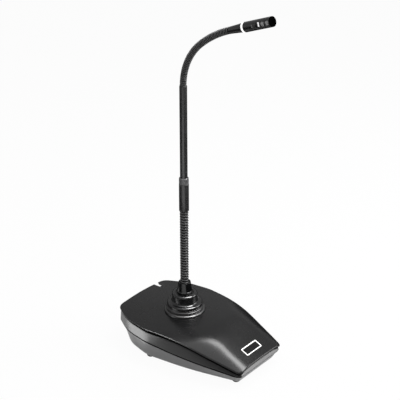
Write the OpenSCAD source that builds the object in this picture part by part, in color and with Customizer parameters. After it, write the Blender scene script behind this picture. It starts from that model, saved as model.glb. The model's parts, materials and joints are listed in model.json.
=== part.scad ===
// Gooseneck desk microphone: a weighted base with a talk key, a shock-mounted socket,
// a plug-in stem with two flexible lengths, and a slim slotted capsule head.
// Millimetres, +Z up, the desk at Z = 0, the front of the base towards -Y.
// The origin is on the desk, under the middle of the whole part's box.

/* [Base outline] */
// From the stem's axis to the front edge
front_reach = 107.3; // [100:0.1:115]
// How far the front corners lie inside the widest place
front_in = 20.2; // [17:0.1:23]
// Radius of the front corners
front_corner_r = 6; // [3:0.5:9]
// From the stem's axis forward to the waist
waist_reach = 43; // [36:0.5:50]
// How far the waist lies inside the widest place
waist_in = 5.2; // [3.5:0.1:7]
// Radius at the waist
waist_r = 420; // [300:10:500]
// From the stem's axis back to the widest place
belly_back = 10; // [5:0.5:15]
// Half width at the widest place
belly_half = 56.2; // [54:0.1:60]
// Radius at the widest place
belly_r = 48; // [30:1:60]
// From the stem's axis back to the shoulders
shoulder_back = 42; // [38:0.5:46]
// How far the shoulders lie inside the widest place
shoulder_in = 4.7; // [3.5:0.1:6]
// Radius at the shoulders
shoulder_r = 70; // [50:1:80]
// From the stem's axis back to the rear corners
rear_reach = 65.6; // [62:0.1:70]
// How far the rear corners lie inside the widest place
rear_in = 18.2; // [16:0.1:20]
// Radius of the rear corners
rear_corner_r = 12; // [8:0.5:15]
// How far the rear edge bows out in its middle
rear_bow = 0.9; // [0.5:0.1:3]
// Radius of the bow
rear_bow_r = 220; // [100:5:260]

/* [Base taper] */
// How far the bottom is set in at the front corners
front_taper = 8; // [5:0.5:10]
// How far the bottom is set in at the waist
waist_taper = 5; // [3:0.5:7]
// How far the bottom is set in at the widest place
belly_taper = 2.5; // [1.5:0.5:5]
// How far the bottom is set in at the shoulders
shoulder_taper = 5; // [3:0.5:7]
// How far the bottom is set in at the rear
rear_taper = 9; // [6:0.5:11]

/* [Base heights] */
// Top of the cover, above the desk
top_z = 42.6; // [41:0.1:45]
// From the stem's axis forward to where the cover starts to curve down
apex_reach = 44.4; // [40:0.2:48]
// Radius of the cover's curve down to the front
front_fall_r = 87; // [75:1:95]
// Slope of the cover's straight front part, in degrees
front_slope = 22.2; // [21:0.1:23]
// Radius of the cover's fall to the rear
rear_fall_r = 2100; // [1900:50:2400]
// Radius of the cover's crown from side to side
crown_r = 450; // [400:10:550]
// How far the two side bevels reach in from the front corners, at the front edge
ridge_in = 4; // [3:0.1:5.5]
// Fall of the bevels to the side, in degrees
bevel_side = 30.5; // [27:0.5:34]
// Fall of the bevels to the front, in degrees
bevel_front = 21.5; // [20:0.5:23]
// Thickness of the cover
cover_t = 3; // [2:0.1:3.5]
// How far the side band's line is set in at the height of the cover
band_step = 2.7; // [2:0.1:3.2]
// How far the side band's line reaches out at the height of the bottom
band_flare = 1.2; // [0.8:0.1:1.2]
// How far the lower shell is set in at the seam
seam_step = 1.5; // [1:0.1:2]
// Wall of the band and the lower shell
wall = 2.2; // [1.6:0.1:3]
// Floor of the lower shell
floor_t = 2.5; // [2:0.1:3]
// Height of the seam between band and lower shell at the rear
seam_rear_z = 21.9; // [18:0.1:24]
// Height of the seam at the front edge
seam_front_z = 14.2; // [12:0.1:15]
// Height that the feet hold the lower shell off the desk
foot_h = 3.5; // [2.5:0.1:4.5]
// Shadow gap between the cover and the side band
rim_gap = 1.2; // [0.8:0.1:1.5]
// Shadow gap between the side band and the lower shell
seam_gap = 0.8; // [0.5:0.1:1]
// Gap left between other fixed pieces
fit_gap = 0.3; // [0.15:0.05:0.4]

/* [Base fittings] */
// Diameter of a foot
foot_d = 8.5; // [7:0.5:10]
// How deep a foot sits in its recess
foot_recess = 0.8; // [0.5:0.1:1.2]
// How far a foot's centre stays inside the bottom edge
foot_inset = 7; // [6.5:0.5:9]
// Diameter of a screw's shank
screw_d = 2.9; // [2.5:0.1:3]
// Diameter of a screw's head
screw_head_d = 5.5; // [5:0.1:6]
// Height of a screw's head
screw_head_h = 2; // [1.5:0.1:2.4]
// Diameter of the cover's screw posts
post_d = 7.5; // [7:0.1:9]
// Screw posts at the front: distance inside the front corners
front_post_in = 11; // [9:0.5:14]
// Screw posts at the front: distance from the stem's axis
front_post_reach = 72; // [69:0.5:75]
// Screw posts at the rear: distance inside the widest place
rear_post_in = 15.2; // [13:0.1:18]
// Screw posts at the rear: distance from the stem's axis
rear_post_back = 26; // [24:0.5:30]
// Thickness of the ballast plate
ballast_t = 4; // [3:0.5:5]
// How far the ballast plate stays inside the bottom edge
ballast_inset = 7; // [5.5:0.5:10]
// Rear end of the ballast plate, from the stem's axis
ballast_back = 40; // [35:0.5:42]
// Width of the main board
board_w = 56; // [50:1:58]
// Length of the main board
board_l = 72; // [64:1:74]
// Thickness of the boards
board_t = 1.6; // [1:0.1:2]
// Height of the main board's pillars above the ballast plate
board_lift = 5; // [4:0.5:8]
// Main board's middle, forward of the stem's axis
board_reach = 16; // [13:0.5:20]

/* [Talk key] */
// From the front edge to the middle of the key
key_setback = 13.7; // [12.3:0.1:17]
// Length of the light frame, across the base
frame_l = 25; // [20:0.5:28]
// Width of the light frame
frame_w = 10; // [8.5:0.1:11]
// Width of the frame's line
frame_line = 1; // [0.8:0.1:1.6]
// Corner radius of the frame
frame_corner_r = 1.2; // [0.8:0.1:1.6]
// Clearance round the key
key_gap = 0.3; // [0.2:0.05:0.4]
// How far the key goes in
key_travel = 1; // [0.6:0.1:1.2]
// How far the key stands proud of its frame
key_proud = 0.2; // [0.1:0.05:0.4]
// Depth of the key board under the cover's top
key_board_depth = 10.2; // [9.4:0.1:11]
// Side of the switch's body
switch_side = 6; // [5:0.5:7]
// Height of the switch's body
switch_h = 3.5; // [3:0.1:3.8]
// Diameter of the switch's plunger
plunger_d = 3.4; // [2.5:0.1:4]
// Half distance between the key board's posts
key_post_half = 19; // [17.5:0.5:21]

/* [Socket and shock mount] */
// Outer diameter of the shock mount's lip
mount_d = 45.5; // [44:0.5:47]
// Height of the lip above its seat
mount_lip_h = 3.4; // [2.5:0.1:4]
// Diameter of the bellows between lip and flange
bellows_d = 41; // [40:0.5:42]
// Height of the bellows
bellows_h = 4.6; // [4:0.1:5.5]
// Diameter of the collar's flange
flange_d = 39.2; // [38:0.1:41]
// Height of the flange
flange_h = 3.6; // [3:0.1:4.5]
// Diameter of the barrel
barrel_d = 28.2; // [27:0.1:30]
// Height of the barrel above its flange
barrel_h = 11; // [10:0.5:12]
// Rounding of the collar's edges
collar_round = 1.4; // [0.8:0.1:1.8]
// Diameter of the collar's neck, inside the shock mount
neck_d = 30; // [27:0.5:31]
// Clearance between plug and socket
plug_gap = 0.3; // [0.25:0.05:0.35]
// Distance of the pins from the plug's axis
pin_circle_r = 4.3; // [3.8:0.1:4.6]
// Diameter of a pin
pin_d = 2.4; // [2:0.1:2.6]

/* [Plug] */
// Outer diameter of the plug's sleeve
sleeve_d = 18.9; // [18:0.1:19.5]
// Inner diameter of the plug's sleeve
sleeve_bore_d = 16.2; // [15.8:0.1:16.6]
// Length of the sleeve inside the socket
sleeve_in = 22; // [18:0.5:23]
// Diameter of the plug's bead above the socket
bead_d = 17.4; // [17.2:0.1:18]
// Height of the bead above the socket
bead_h = 2.3; // [1.5:0.1:3]
// Diameter at the foot of the taper
taper_foot_d = 16.4; // [15.5:0.1:17]
// Diameter at the top of the taper
taper_top_d = 13.4; // [12.5:0.1:14.5]
// Height of the taper
taper_h = 10.7; // [9.5:0.1:13]
// How far the plug pulls out
plug_travel = 26; // [25:0.5:30]

/* [Lower gooseneck] */
// Outer diameter of the lower spring
low_d = 9.5; // [9:0.1:10]
// Wire of the lower spring
low_wire = 2.55; // [2.2:0.05:2.65]
// Rise of one curl of the lower spring
low_pitch = 3.15; // [3.1:0.05:3.4]
// Length of the lower spring that shows
low_len = 87.2; // [75:0.1:95]
// How far a spring's curls reach into the pieces that hold it
spring_grip = 2.4; // [2:0.1:3]
// Clearance round a spring where it is held
spring_gap = 0.2; // [0.15:0.05:0.25]
// Diameter of the wire core inside the gooseneck
core_d = 3.4; // [2.5:0.1:3.6]

/* [Stem] */
// Outer diameter of the joint sleeve
joint_d = 10.6; // [10.4:0.1:12]
// Length of the joint sleeve
joint_l = 31.2; // [26:0.1:36]
// Outer diameter of the stem collar
ring_d = 10.4; // [9.8:0.1:11]
// Length of the stem collar
ring_l = 7.2; // [5:0.1:9]
// Outer diameter of the stem tube
tube_d = 8; // [7.9:0.1:8.6]
// Wall of the stem tube
tube_wall = 0.8; // [0.6:0.1:1]
// Length of the stem tube that shows
tube_len = 101.3; // [80:0.1:130]
// How far the stem tube reaches into the joint sleeve
tube_in = 20; // [14:0.5:22]

/* [Upper gooseneck] */
// Outer diameter of the upper spring
high_d = 7.2; // [6.8:0.1:7.2]
// Wire of the upper spring
high_wire = 1.05; // [0.9:0.05:1.1]
// Rise of one curl of the upper spring
high_pitch = 1.6; // [1.58:0.02:1.8]
// Radius of the bend's first arc
bend_r1 = 62; // [58:1:75]
// Turn of the first arc, in degrees
bend_turn1 = 50; // [45:0.5:55]
// Radius of the bend's second arc
bend_r2 = 120; // [110:1:135]
// Turn of the second arc, in degrees
bend_turn2 = 20.5; // [17:0.5:23]

/* [Head] */
// Radius of the cone where it meets the spring
cone_foot_r = 3.5; // [3.1:0.1:3.7]
// Radius of the cone at the light ring
cone_top_r = 4.5; // [4.2:0.1:4.6]
// Length of the cone
cone_l = 17; // [14:0.5:19]
// Radius of the light ring
light_r = 4.8; // [4.5:0.1:4.9]
// Width of the light ring
light_w = 2.4; // [2:0.1:3]
// Outer radius of the capsule housing
head_r = 5; // [4.8:0.05:5.2]
// Wall of the capsule housing
head_wall = 0.6; // [0.5:0.05:0.7]
// Length of the capsule housing
head_l = 32; // [31.8:0.1:36]
// Thickness of the front grille
grille_t = 1.4; // [1.4:0.1:2]
// Rounding of the grille's edge
grille_round = 0.6; // [0.3:0.1:0.6]
// From the light ring to the first slot
slot_start = 10.9; // [9:0.1:11]
// Length of a slot along the head
slot_l = 4; // [3:0.1:4]
// Width of a slot round the head
slot_w = 5; // [4:0.1:5.6]
// Rib between two slots
slot_rib = 1.4; // [1:0.1:1.4]

/* [Rear connector] */
// From the rear corner in to the middle of the rear notch and the connector
out_in = 13; // [12:0.1:14.5]
// Width of the notch in the cover's rear edge
notch_w = 7.4; // [5:0.1:8]
// Depth of the notch
notch_depth = 10; // [7:0.1:11]
// Left side of the connector bay
bay_left = 10; // [8:0.5:14]
// From the bay's right side to the connector's middle
bay_right = 11.6; // [11.5:0.1:12]
// From the stem's axis back to the bay's panel
bay_back = 52; // [50:0.5:53]
// Wall of the bay
bay_wall = 1.6; // [1.2:0.1:2]
// Height of the bay's floor above the lower shell's floor
bay_lift = 2; // [1.9:0.1:3]
// Outer radius of the connector's flange
out_flange_r = 11.2; // [10.9:0.1:11.4]
// Outer radius of the connector's body
out_body_r = 10.5; // [10.3:0.1:10.6]
// Depth of the connector's body behind its panel
out_depth = 15; // [13:0.5:17]
// Height of the connector's axis above the bay's floor
out_lift = 13; // [12:0.5:13.5]

/* [Hidden] */

// Counts and small settings
arc_steps = 6;
curl_steps = 8;
wire_sides = 6;
lead_steps = 3;
lead_turn = 45;
// Clearance between pieces that are fixed to each other
slip = 0.05;
// Clearance of a screw in the piece it passes through
screw_clear = 0.25;
fine = 96;
smooth = 360;
far = 400;
cut = 10;
// How far pieces drawn together run into each other
bite = 0.5;
pin_angles = [90, 210, 330];
slot_count = 4;

// Half widths of the base, and what keeps its place by them
front_half = belly_half - front_in;
waist_half = belly_half - waist_in;
shoulder_half = belly_half - shoulder_in;
rear_half = belly_half - rear_in;
ridge_half = front_half - ridge_in;
front_post_half = front_half - front_post_in;
rear_post_half = belly_half - rear_post_in;
out_x = rear_half - out_in;
key_reach = front_reach - key_setback;

// Base outline: [x, y, radius, taper] for each corner of the right half, from front to rear
right_corners = [
    [front_half, -front_reach, front_corner_r, front_taper],
    [waist_half, -waist_reach, waist_r, waist_taper],
    [belly_half, belly_back, belly_r, belly_taper],
    [shoulder_half, shoulder_back, shoulder_r, shoulder_taper],
    [rear_half, rear_reach, rear_corner_r, rear_taper]
];
rear_corner = [0, rear_reach + rear_bow, rear_bow_r, rear_taper];
corner_count = len(right_corners);
left_corners = [
    for (i = [corner_count - 1:-1:0])
        let (c = right_corners[i])
            [-c[0], c[1], c[2], c[3]]
];
base_corners = concat(right_corners, [rear_corner], left_corners);
smallest_r = 1;
edge_share = 0.48;

function unit(v) = v / norm(v);
function flat(c) = [c[0], c[1]];
function around(list, i) = list[(i + len(list)) % len(list)];
function toward(list, i, step) = unit(flat(around(list, i + step)) - flat(list[i]));
function bisector(list, i) = unit(toward(list, i, -1) + toward(list, i, 1));
function half_angle(list, i) = acos(toward(list, i, -1) * toward(list, i, 1)) / 2;

// Corners moved in by a distance plus a share of each corner's own taper
function moved_in(list, distance, taper_share) = [
    for (i = [0:len(list) - 1])
        let (
            d = distance + taper_share * list[i][3],
            p = flat(list[i]) + bisector(list, i) * d / sin(half_angle(list, i))
        )
            [p[0], p[1], max(list[i][2] - d, smallest_r), list[i][3]]
];

// A corner's radius, limited by the straight edges beside it
function corner_radius(list, i) =
    let (
        back = norm(flat(around(list, i - 1)) - flat(list[i])),
        ahead = norm(flat(around(list, i + 1)) - flat(list[i]))
    )
        min(list[i][2], edge_share * min(back, ahead) * tan(half_angle(list, i)));

// Points of the outline: each corner becomes an arc that touches both its edges
function rounded(list) = [
    for (i = [0:len(list) - 1])
        let (
            r = corner_radius(list, i),
            h = half_angle(list, i),
            middle = flat(list[i]) + bisector(list, i) * r / sin(h),
            outward = -bisector(list, i),
            turn = 90 - h
        )
            for (k = [-arc_steps:2:arc_steps])
                let (a = turn * k / arc_steps)
                    middle + r * [
                        outward[0] * cos(a) - outward[1] * sin(a),
                        outward[0] * sin(a) + outward[1] * cos(a)
                    ]
];

// Heights of the base
floor_z = foot_h + floor_t;
ballast_z = floor_z;
board_z = ballast_z + ballast_t + board_lift;
bay_z = floor_z + bay_lift;
seam_slope = (seam_rear_z - seam_front_z) / (front_reach + belly_back);
// The band's upper plane passes over the cover's rim everywhere
loft_front_z = 22.5;
loft_slope = 0.21;
function loft_z(y) = loft_front_z + loft_slope * (y + front_reach);
// The lower shell's sides run on a little over the seam
seam_over = 1;
function seam_z(y) = seam_rear_z - seam_slope * max(belly_back - y, 0);

// The cover's top on the part's middle plane, forward of the apex: an arc, then a slope
arc_run = front_fall_r * sin(front_slope);
function fall(distance) =
    let (run = min(distance, arc_run))
        front_fall_r - sqrt(pow(front_fall_r, 2) - pow(run, 2))
            + max(distance - arc_run, 0) * tan(front_slope);
function crown(x) = crown_r - sqrt(pow(crown_r, 2) - pow(x, 2));
bevel_z = top_z - fall(front_reach - apex_reach) - crown(ridge_half);
bevel_tip = [tan(bevel_side), -tan(bevel_front), 1];
bevel_lean = acos(1 / norm(bevel_tip));
bevel_heading = atan2(bevel_tip[1], bevel_tip[0]);

// Parts on the main board, placed from its front, rear and side edges
transformer = [16, 13, 10];
transformer_edge = 14;
capacitor_r = 3.2;
capacitor_h = 8;
capacitor_edge = 22;
capacitor_side = 12;
terminal = [14, 5, 6];
terminal_edge = 13;
chip = [9, 9, 1.6];
chip_edge = 25;
chip_side = 12;
board_front = -board_reach - board_l / 2;
board_rear = -board_reach + board_l / 2;

// Talk key: its own frame lies on the cover, tilted with the cover's fall
key_tilt = asin(min(key_reach - apex_reach, arc_run) / front_fall_r);
key_z = top_z - fall(key_reach - apex_reach);
key_l = frame_l - 2 * frame_line - 2 * key_gap;
key_w = frame_w - 2 * frame_line - 2 * key_gap;
frame_depth = cover_t;
key_flange = 0.9;
key_flange_t = 1.1;
key_bottom = -(frame_depth + key_gap + key_flange_t);
switch_top = -key_board_depth + switch_h;
plunger_reach = 1.2;
plunger_fit = 0.08;
key_post_d = 5;
key_board_l = 2 * key_post_half + key_post_d + 1;
key_board_w = 12;
key_screw_d = 2;
key_screw_l = 5;
key_screw_head_h = 1.4;
lamp_size = [3.2, 1.6, 1.4];
lamp_half = frame_l / 2 - frame_line / 2;

// Socket and plug, up the stem's axis
mount_seat_z = top_z - 1.4;
flange_z = mount_seat_z + mount_lip_h + bellows_h + slip;
barrel_z = flange_z + flange_h;
socket_top = barrel_z + barrel_h;
mount_neck_d = bellows_d - 1;
mount_hole_d = mount_neck_d + 2 * fit_gap;
mount_under_z = mount_seat_z - cover_t - 1.2;
mount_under_h = 2;
nut_h = 3.6;
neck_bottom_z = mount_under_z - mount_under_h - nut_h - 0.6;
socket_bore_r = sleeve_d / 2 + plug_gap;
insert_r = sleeve_bore_d / 2 - plug_gap;
sleeve_z = socket_top - sleeve_in;
insert_base_t = 2.8;
insert_base_z = sleeve_z - 0.7 - insert_base_t;
plug_insert_t = 5;
plug_insert_z = socket_top - 0.5 - plug_insert_t;
insert_top = plug_insert_z - fit_gap;
contact_r = pin_d / 2 + 0.6;
contact_z = sleeve_z + 1.5;
pin_bottom = contact_z + 1.2;
pin_top = plug_insert_z + plug_insert_t + 1;
tail_r = 0.9;
tail_l = 12;
// The bead starts a little under the socket's top, where the sleeve ends
bead_sink = 0.6;
bead_z = socket_top + bead_h;
taper_top_z = bead_z + taper_h;
plug_hollow_r = pin_circle_r + pin_d / 2 + fit_gap;
core_gap = 0.4;
crimp_t = 0.2;
crimp_l = 3;
low_hold_r = low_d / 2 + spring_gap;
lead_wires = 1.1;
low_lead = low_pitch / 4 + lead_wires * low_wire;
spring_seat_l = spring_grip + low_lead + low_wire + fit_gap;
// The plug's mouth opens towards its top round the spring
mouth_h = 2.6;
mouth_r = taper_top_d / 2 - 0.7;

// Lower gooseneck, stem and upper gooseneck, up the stem's axis
low_start = taper_top_z;
low_end = low_start + low_len;
low_curls = (low_len + 2 * spring_grip) / low_pitch;
low_path_r = (low_d - low_wire) / 2;
joint_end = low_end + joint_l;
ring_start = joint_end + slip;
ring_end = ring_start + ring_l;
tube_start = joint_end - tube_in;
tube_end = ring_end + tube_len;
high_path_r = (high_d - high_wire) / 2;
high_hold_r = high_d / 2 + 0.1;
high_grip = 2.4;
high_lead = high_pitch / 4 + lead_wires * high_wire;

// The upper gooseneck's middle line: two arcs that follow on, then straight on
arc_1 = bend_r1 * bend_turn1 * PI / 180;
arc_2 = bend_r2 * bend_turn2 * PI / 180;
high_len = arc_1 + arc_2;
head_turn = bend_turn1 + bend_turn2;
high_curls = (high_len - high_lead - high_wire + high_grip) / high_pitch;
function bow(turn) = [1 - cos(turn), sin(turn)];
function neck_turn(s) =
    s < 0 ? 0
    : s < arc_1 ? s / bend_r1 * 180 / PI
    : s < high_len ? bend_turn1 + (s - arc_1) / bend_r2 * 180 / PI
    : head_turn;
function neck_yz(s) =
    s < 0 ? [0, s]
    : s < arc_1 ? bend_r1 * bow(neck_turn(s))
    : s < high_len ? neck_yz_1 + bend_r2 * (bow(neck_turn(s)) - bow(bend_turn1))
    : neck_yz_2 + (s - high_len) * [sin(head_turn), cos(head_turn)];
neck_yz_1 = bend_r1 * bow(bend_turn1);
neck_yz_2 = neck_yz_1 + bend_r2 * (bow(head_turn) - bow(bend_turn1));
function neck_point(s) = [0, -neck_yz(s)[0], tube_end + neck_yz(s)[1]];
function neck_side(s) = [0, cos(neck_turn(s)), sin(neck_turn(s))];
head_base = neck_point(high_len);

// Head, along its own axis from the end of the upper gooseneck
light_start = cone_l;
house_start = light_start + light_w;
house_end = house_start + head_l;
head_end = house_end + grille_t;
spigot_r = 1.6;
spigot_l = 5;
lamp_r = light_r - 1.5;
lamp_sink = 1.5;
sleeve_r = head_r - head_wall - slip;
sleeve_t = 0.3;
capsule_l = 4;
// The bright sleeve and the capsule lie under the outer half of the slots
capsule_back = slot_start + slot_count / 2 * (slot_l + slot_rib);
sleeve_back = capsule_back - slot_rib / 2;

// Output connector
out_flange_t = 2;
out_back_t = 3;

// The part's origin is under the middle of its box
rear_edge = max([for (p = rounded(base_corners)) p[1]]);
head_axial = (head_end - grille_round) * sin(head_turn);
head_radial = (head_r - grille_round) * cos(head_turn) + grille_round;
head_front = -head_base[1] + head_axial + head_radial;
stem_y = (max(head_front, front_reach) - rear_edge) / 2;

module at_stem() {
    translate([0, stem_y, 0])
        children();
}

// The key's own frame: X across, Y up the slope, Z out of the cover
module at_key() {
    at_stem()
        translate([0, -key_reach, key_z])
            rotate([key_tilt, 0, 0])
                children();
}

// The head's own frame: Z along the head
module at_head() {
    at_stem()
        translate(head_base)
            rotate([head_turn, 0, 0])
                children();
}

// The output connector's own frame: Z out of the rear
module at_output() {
    at_stem()
        translate([out_x, bay_back, bay_z + out_lift])
            rotate([-90, 0, 0])
                children();
}

module both_sides() {
    children();
    mirror([1, 0, 0])
        children();
}

module tube(outer_r, inner_r, low, high) {
    translate([0, 0, low])
        difference() {
            cylinder(r = outer_r, h = high - low, $fn = fine);
            translate([0, 0, -1])
                cylinder(r = inner_r, h = high - low + 2, $fn = fine);
        }
}

module rod(r, low, high) {
    translate([0, 0, low])
        cylinder(r = r, h = high - low, $fn = fine);
}

// A rounded rectangle, made of two bars and four corner discs
module soft_rectangle(l, w, r) {
    square([l - 2 * r, w], center = true);
    square([l, w - 2 * r], center = true);
    for (x = [-1, 1], y = [-1, 1])
        translate([x * (l / 2 - r), y * (w / 2 - r)])
            circle(r = r, $fn = fine);
}

module slab(l, w, r, low, high) {
    translate([0, 0, low])
        linear_extrude(high - low)
            soft_rectangle(l, w, r);
}

// One screw: head below, shank up
module screw(d, head_d, head_h, l) {
    rod(head_d / 2, -head_h, 0);
    rod(d / 2, -0.01, l);
}

// Section of the base under its crowned top, at a reach from the fall's axis
module crown_section(reach) {
    depth = 60;
    intersection() {
        translate([reach - depth, -belly_half - 5])
            square([depth, 2 * belly_half + 10]);
        translate([reach - crown_r, 0])
            circle(r = crown_r, $fn = smooth);
    }
}

// The section turned about an axis across the base
module fall_body(fall_r, drop, sweep, start) {
    rotate([0, 90, 0])
        rotate([0, 0, start])
            rotate_extrude(angle = sweep, $fn = smooth)
                crown_section(fall_r - drop);
}

// The section drawn straight on from the end of the front fall
module slope_body(drop) {
    rotate([0, 90, 0])
        rotate([0, 0, 180 + front_slope])
            translate([0, slope_l, 0])
                rotate([90, 0, 0])
                    linear_extrude(slope_l + fall_overlap)
                        crown_section(front_fall_r - drop);
}

// The falls and the slope overlap a little, where the rear fall and the slope lie a hair lower
slope_l = 60;
rear_sweep = 5;
rear_overlap = 0.06;
fall_overlap = 0.2;
fall_step = 0.04;

// Everything under the cover's top, lowered by a drop
module under_top(drop) {
    difference() {
        translate([0, -apex_reach, top_z]) {
            translate([0, 0, -front_fall_r]) {
                fall_body(front_fall_r, drop, front_slope, 180);
                slope_body(drop + fall_step);
            }
            translate([0, 0, -rear_fall_r])
                fall_body(rear_fall_r, drop + fall_step, rear_sweep, 180 - rear_sweep + rear_overlap);
        }
        both_sides()
            translate([ridge_half, -front_reach, bevel_z - drop])
                rotate([0, bevel_lean, bevel_heading])
                    translate([-far / 2, -far / 2, 0])
                        cube([far, far, far / 4]);
    }
}

module outline_prism(distance, low, high) {
    translate([0, 0, low])
        linear_extrude(high - low)
            polygon(rounded(moved_in(base_corners, distance, 0)));
}

// A closed body between two rings of as many points
module loft(lower, upper) {
    n = len(upper);
    polyhedron(
        points = concat(lower, upper),
        faces = concat(
            [[for (i = [0:n - 1]) i]],
            [[for (i = [n - 1:-1:0]) n + i]],
            [for (i = [0:n - 1]) [i, n + i, (i + 1) % n]],
            [for (i = [0:n - 1]) [(i + 1) % n, n + i, n + (i + 1) % n]]
        )
    );
}

// The side band's sides: a line that leans in a little, from the bottom's height to the cover's
module band_loft(distance, lift) {
    loft(
        [for (p = rounded(moved_in(base_corners, distance - band_flare, 0))) [p[0], p[1], foot_h]],
        [
            for (p = rounded(moved_in(base_corners, distance + band_step, 0)))
                [p[0], p[1], loft_z(p[1]) + lift]
        ]
    );
}

// The lower shell's sides: a line from the tapered bottom to the seam
module shell_loft(distance, lift) {
    loft(
        [for (p = rounded(moved_in(base_corners, distance, 1))) [p[0], p[1], foot_h]],
        [
            for (p = rounded(moved_in(base_corners, distance + seam_step, 0)))
                [p[0], p[1], seam_z(p[1]) + seam_over + lift]
        ]
    );
}

// Everything above the seam, moved up by a lift
module above_seam(lift) {
    rotate([90, 0, 90])
        translate([0, 0, -far / 2])
            linear_extrude(far)
                polygon([
                    [far, seam_rear_z + lift],
                    [far, far],
                    [-far, far],
                    [-far, seam_rear_z - seam_slope * (belly_back + far) + lift],
                    [belly_back, seam_rear_z + lift]
                ]);
}

module bay_block(grow, low, back) {
    translate([-bay_left - grow, back - grow, low - grow])
        cube([bay_left + out_x + bay_right + 2 * grow, far, far]);
}

front_posts = [for (s = [-1, 1]) [s * front_post_half, -front_post_reach]];
rear_posts = [for (s = [-1, 1]) [s * rear_post_half, rear_post_back]];
posts = concat(front_posts, rear_posts);
post_z = floor_z + 3;
post_pilot_l = 12;
post_land = 2;
foot_corners = moved_in(base_corners, foot_inset, 1);
foot_points = [
    for (s = [-1, 1])
        for (p = [
            [foot_corners[0][0], foot_corners[0][1]],
            [foot_corners[2][0], foot_corners[2][1]],
            [foot_corners[4][0], foot_corners[4][1]]
        ])
            [s * p[0], p[1]]
];
board_points = [
    for (x = [-1, 1], y = [-1, 1])
        [x * (board_w / 2 - 4), -board_reach + y * (board_l / 2 - 4)]
];
pillar_d = 6;
board_pilot_l = 8;
screw_slack = 0.5;

module at_points(points) {
    for (p = points)
        translate([p[0], p[1], 0])
            children();
}

module top_cover() {
    color("#2b2b2d")
        at_stem()
            difference() {
                union() {
                    difference() {
                        intersection() {
                            outline_prism(0, 0, top_z + cut);
                            under_top(0);
                        }
                        under_top(cover_t);
                        rod(mount_d / 2 + fit_gap, mount_seat_z, far);
                        rod(mount_hole_d / 2, 0, far);
                        translate([out_x - notch_w / 2, rear_edge - notch_depth, 0])
                            cube([notch_w, far, far]);
                        translate([0, -key_reach, key_z])
                            rotate([key_tilt, 0, 0])
                                slab(frame_l + 2 * slip, frame_w + 2 * slip, frame_corner_r, -cut, cut);
                    }
                    intersection() {
                        union() {
                            at_points(posts)
                                rod(post_d / 2, post_z + slip, top_z);
                            translate([0, -key_reach, key_z])
                                rotate([key_tilt, 0, 0])
                                    for (s = [-1, 1])
                                        translate([s * key_post_half, 0, 0])
                                            rod(key_post_d / 2, -key_board_depth, 0);
                        }
                        under_top(cover_t - bite);
                    }
                }
                at_points(posts)
                    rod(screw_d / 2 + slip, 0, post_z + post_pilot_l);
                translate([0, -key_reach, key_z])
                    rotate([key_tilt, 0, 0])
                        for (s = [-1, 1])
                            translate([s * key_post_half, 0, 0])
                                rod(key_screw_d / 2 + slip, -far, -key_board_depth + key_screw_l);
            }
}

module side_band() {
    color("#303032")
        at_stem()
            difference() {
                intersection() {
                    band_loft(0, 0);
                    above_seam(seam_gap / 2);
                    under_top(cover_t + rim_gap);
                }
                band_loft(wall, 1);
                bay_block(bay_wall + fit_gap, bay_z, bay_back - bay_wall);
            }
}

module lower_shell() {
    color("#3a3a3c")
        at_stem()
            difference() {
                union() {
                    difference() {
                        shell_loft(0, 0);
                        above_seam(-seam_gap / 2);
                        intersection() {
                            shell_loft(wall, 1);
                            translate([-far / 2, -far / 2, floor_z])
                                cube([far, far, far]);
                        }
                        bay_block(bay_wall + fit_gap, bay_z, bay_back - bay_wall);
                    }
                    at_points(posts)
                        rod(post_d / 2, floor_z - bite, post_z);
                    at_points(board_points)
                        rod(pillar_d / 2, floor_z - bite, board_z);
                }
                at_points(posts) {
                    rod(screw_d / 2 + screw_clear, 0, far);
                    rod(screw_head_d / 2 + fit_gap, 0, post_z - post_land);
                }
                at_points(board_points)
                    rod(screw_d / 2 + slip, board_z - board_pilot_l, far);
                at_points(foot_points)
                    rod(foot_d / 2 + slip, 0, foot_h + foot_recess);
            }
}

module ballast_plate() {
    color("#8a8d90")
        at_stem()
            difference() {
                intersection() {
                    translate([0, 0, ballast_z])
                        linear_extrude(ballast_t)
                            polygon(rounded(moved_in(base_corners, wall + ballast_inset, 1)));
                    translate([-far / 2, -front_reach, 0])
                        cube([far, front_reach + ballast_back, far]);
                }
                at_points(posts)
                    rod(post_d / 2 + bite, 0, far);
                at_points(board_points)
                    rod(pillar_d / 2 + bite, 0, far);
            }
}

module rubber_feet() {
    chamfer = 0.6;
    color("#1c1c1c")
        at_stem()
            at_points(foot_points)
                rotate_extrude($fn = fine)
                    polygon([
                        [0, 0],
                        [foot_d / 2 - chamfer, 0],
                        [foot_d / 2, chamfer],
                        [foot_d / 2, foot_h + foot_recess],
                        [0, foot_h + foot_recess]
                    ]);
}

module housing_screws() {
    color("#9a9a9a")
        at_stem()
            at_points(posts)
                translate([0, 0, post_z - post_land])
                    screw(screw_d, screw_head_d, screw_head_h, post_land + post_pilot_l - screw_slack);
}

module main_board() {
    color("#1f5a36")
        at_stem()
            difference() {
                translate([-board_w / 2, board_front, board_z])
                    cube([board_w, board_l, board_t]);
                at_points(board_points)
                    rod(screw_d / 2 + screw_clear, 0, far);
            }
}

module board_parts() {
    top = board_z + board_t;
    color("#202024")
        at_stem() {
            translate([-transformer[0] / 2, board_front + transformer_edge, top])
                cube(transformer);
            for (s = [-1, 1])
                translate([s * (board_w / 2 - capacitor_side), board_front + capacitor_edge, 0])
                    rod(capacitor_r, top, top + capacitor_h);
            translate([-terminal[0] / 2, board_rear - terminal_edge - terminal[1], top])
                cube(terminal);
            translate([chip_side - board_w / 2, board_rear - chip_edge - chip[1], top])
                cube(chip);
        }
}

module board_screws() {
    color("#9a9a9a")
        at_stem()
            at_points(board_points)
                translate([0, 0, board_z + board_t])
                    mirror([0, 0, 1])
                        screw(screw_d, pillar_d - 1, screw_head_h, board_t + board_pilot_l - screw_slack);
}

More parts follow.
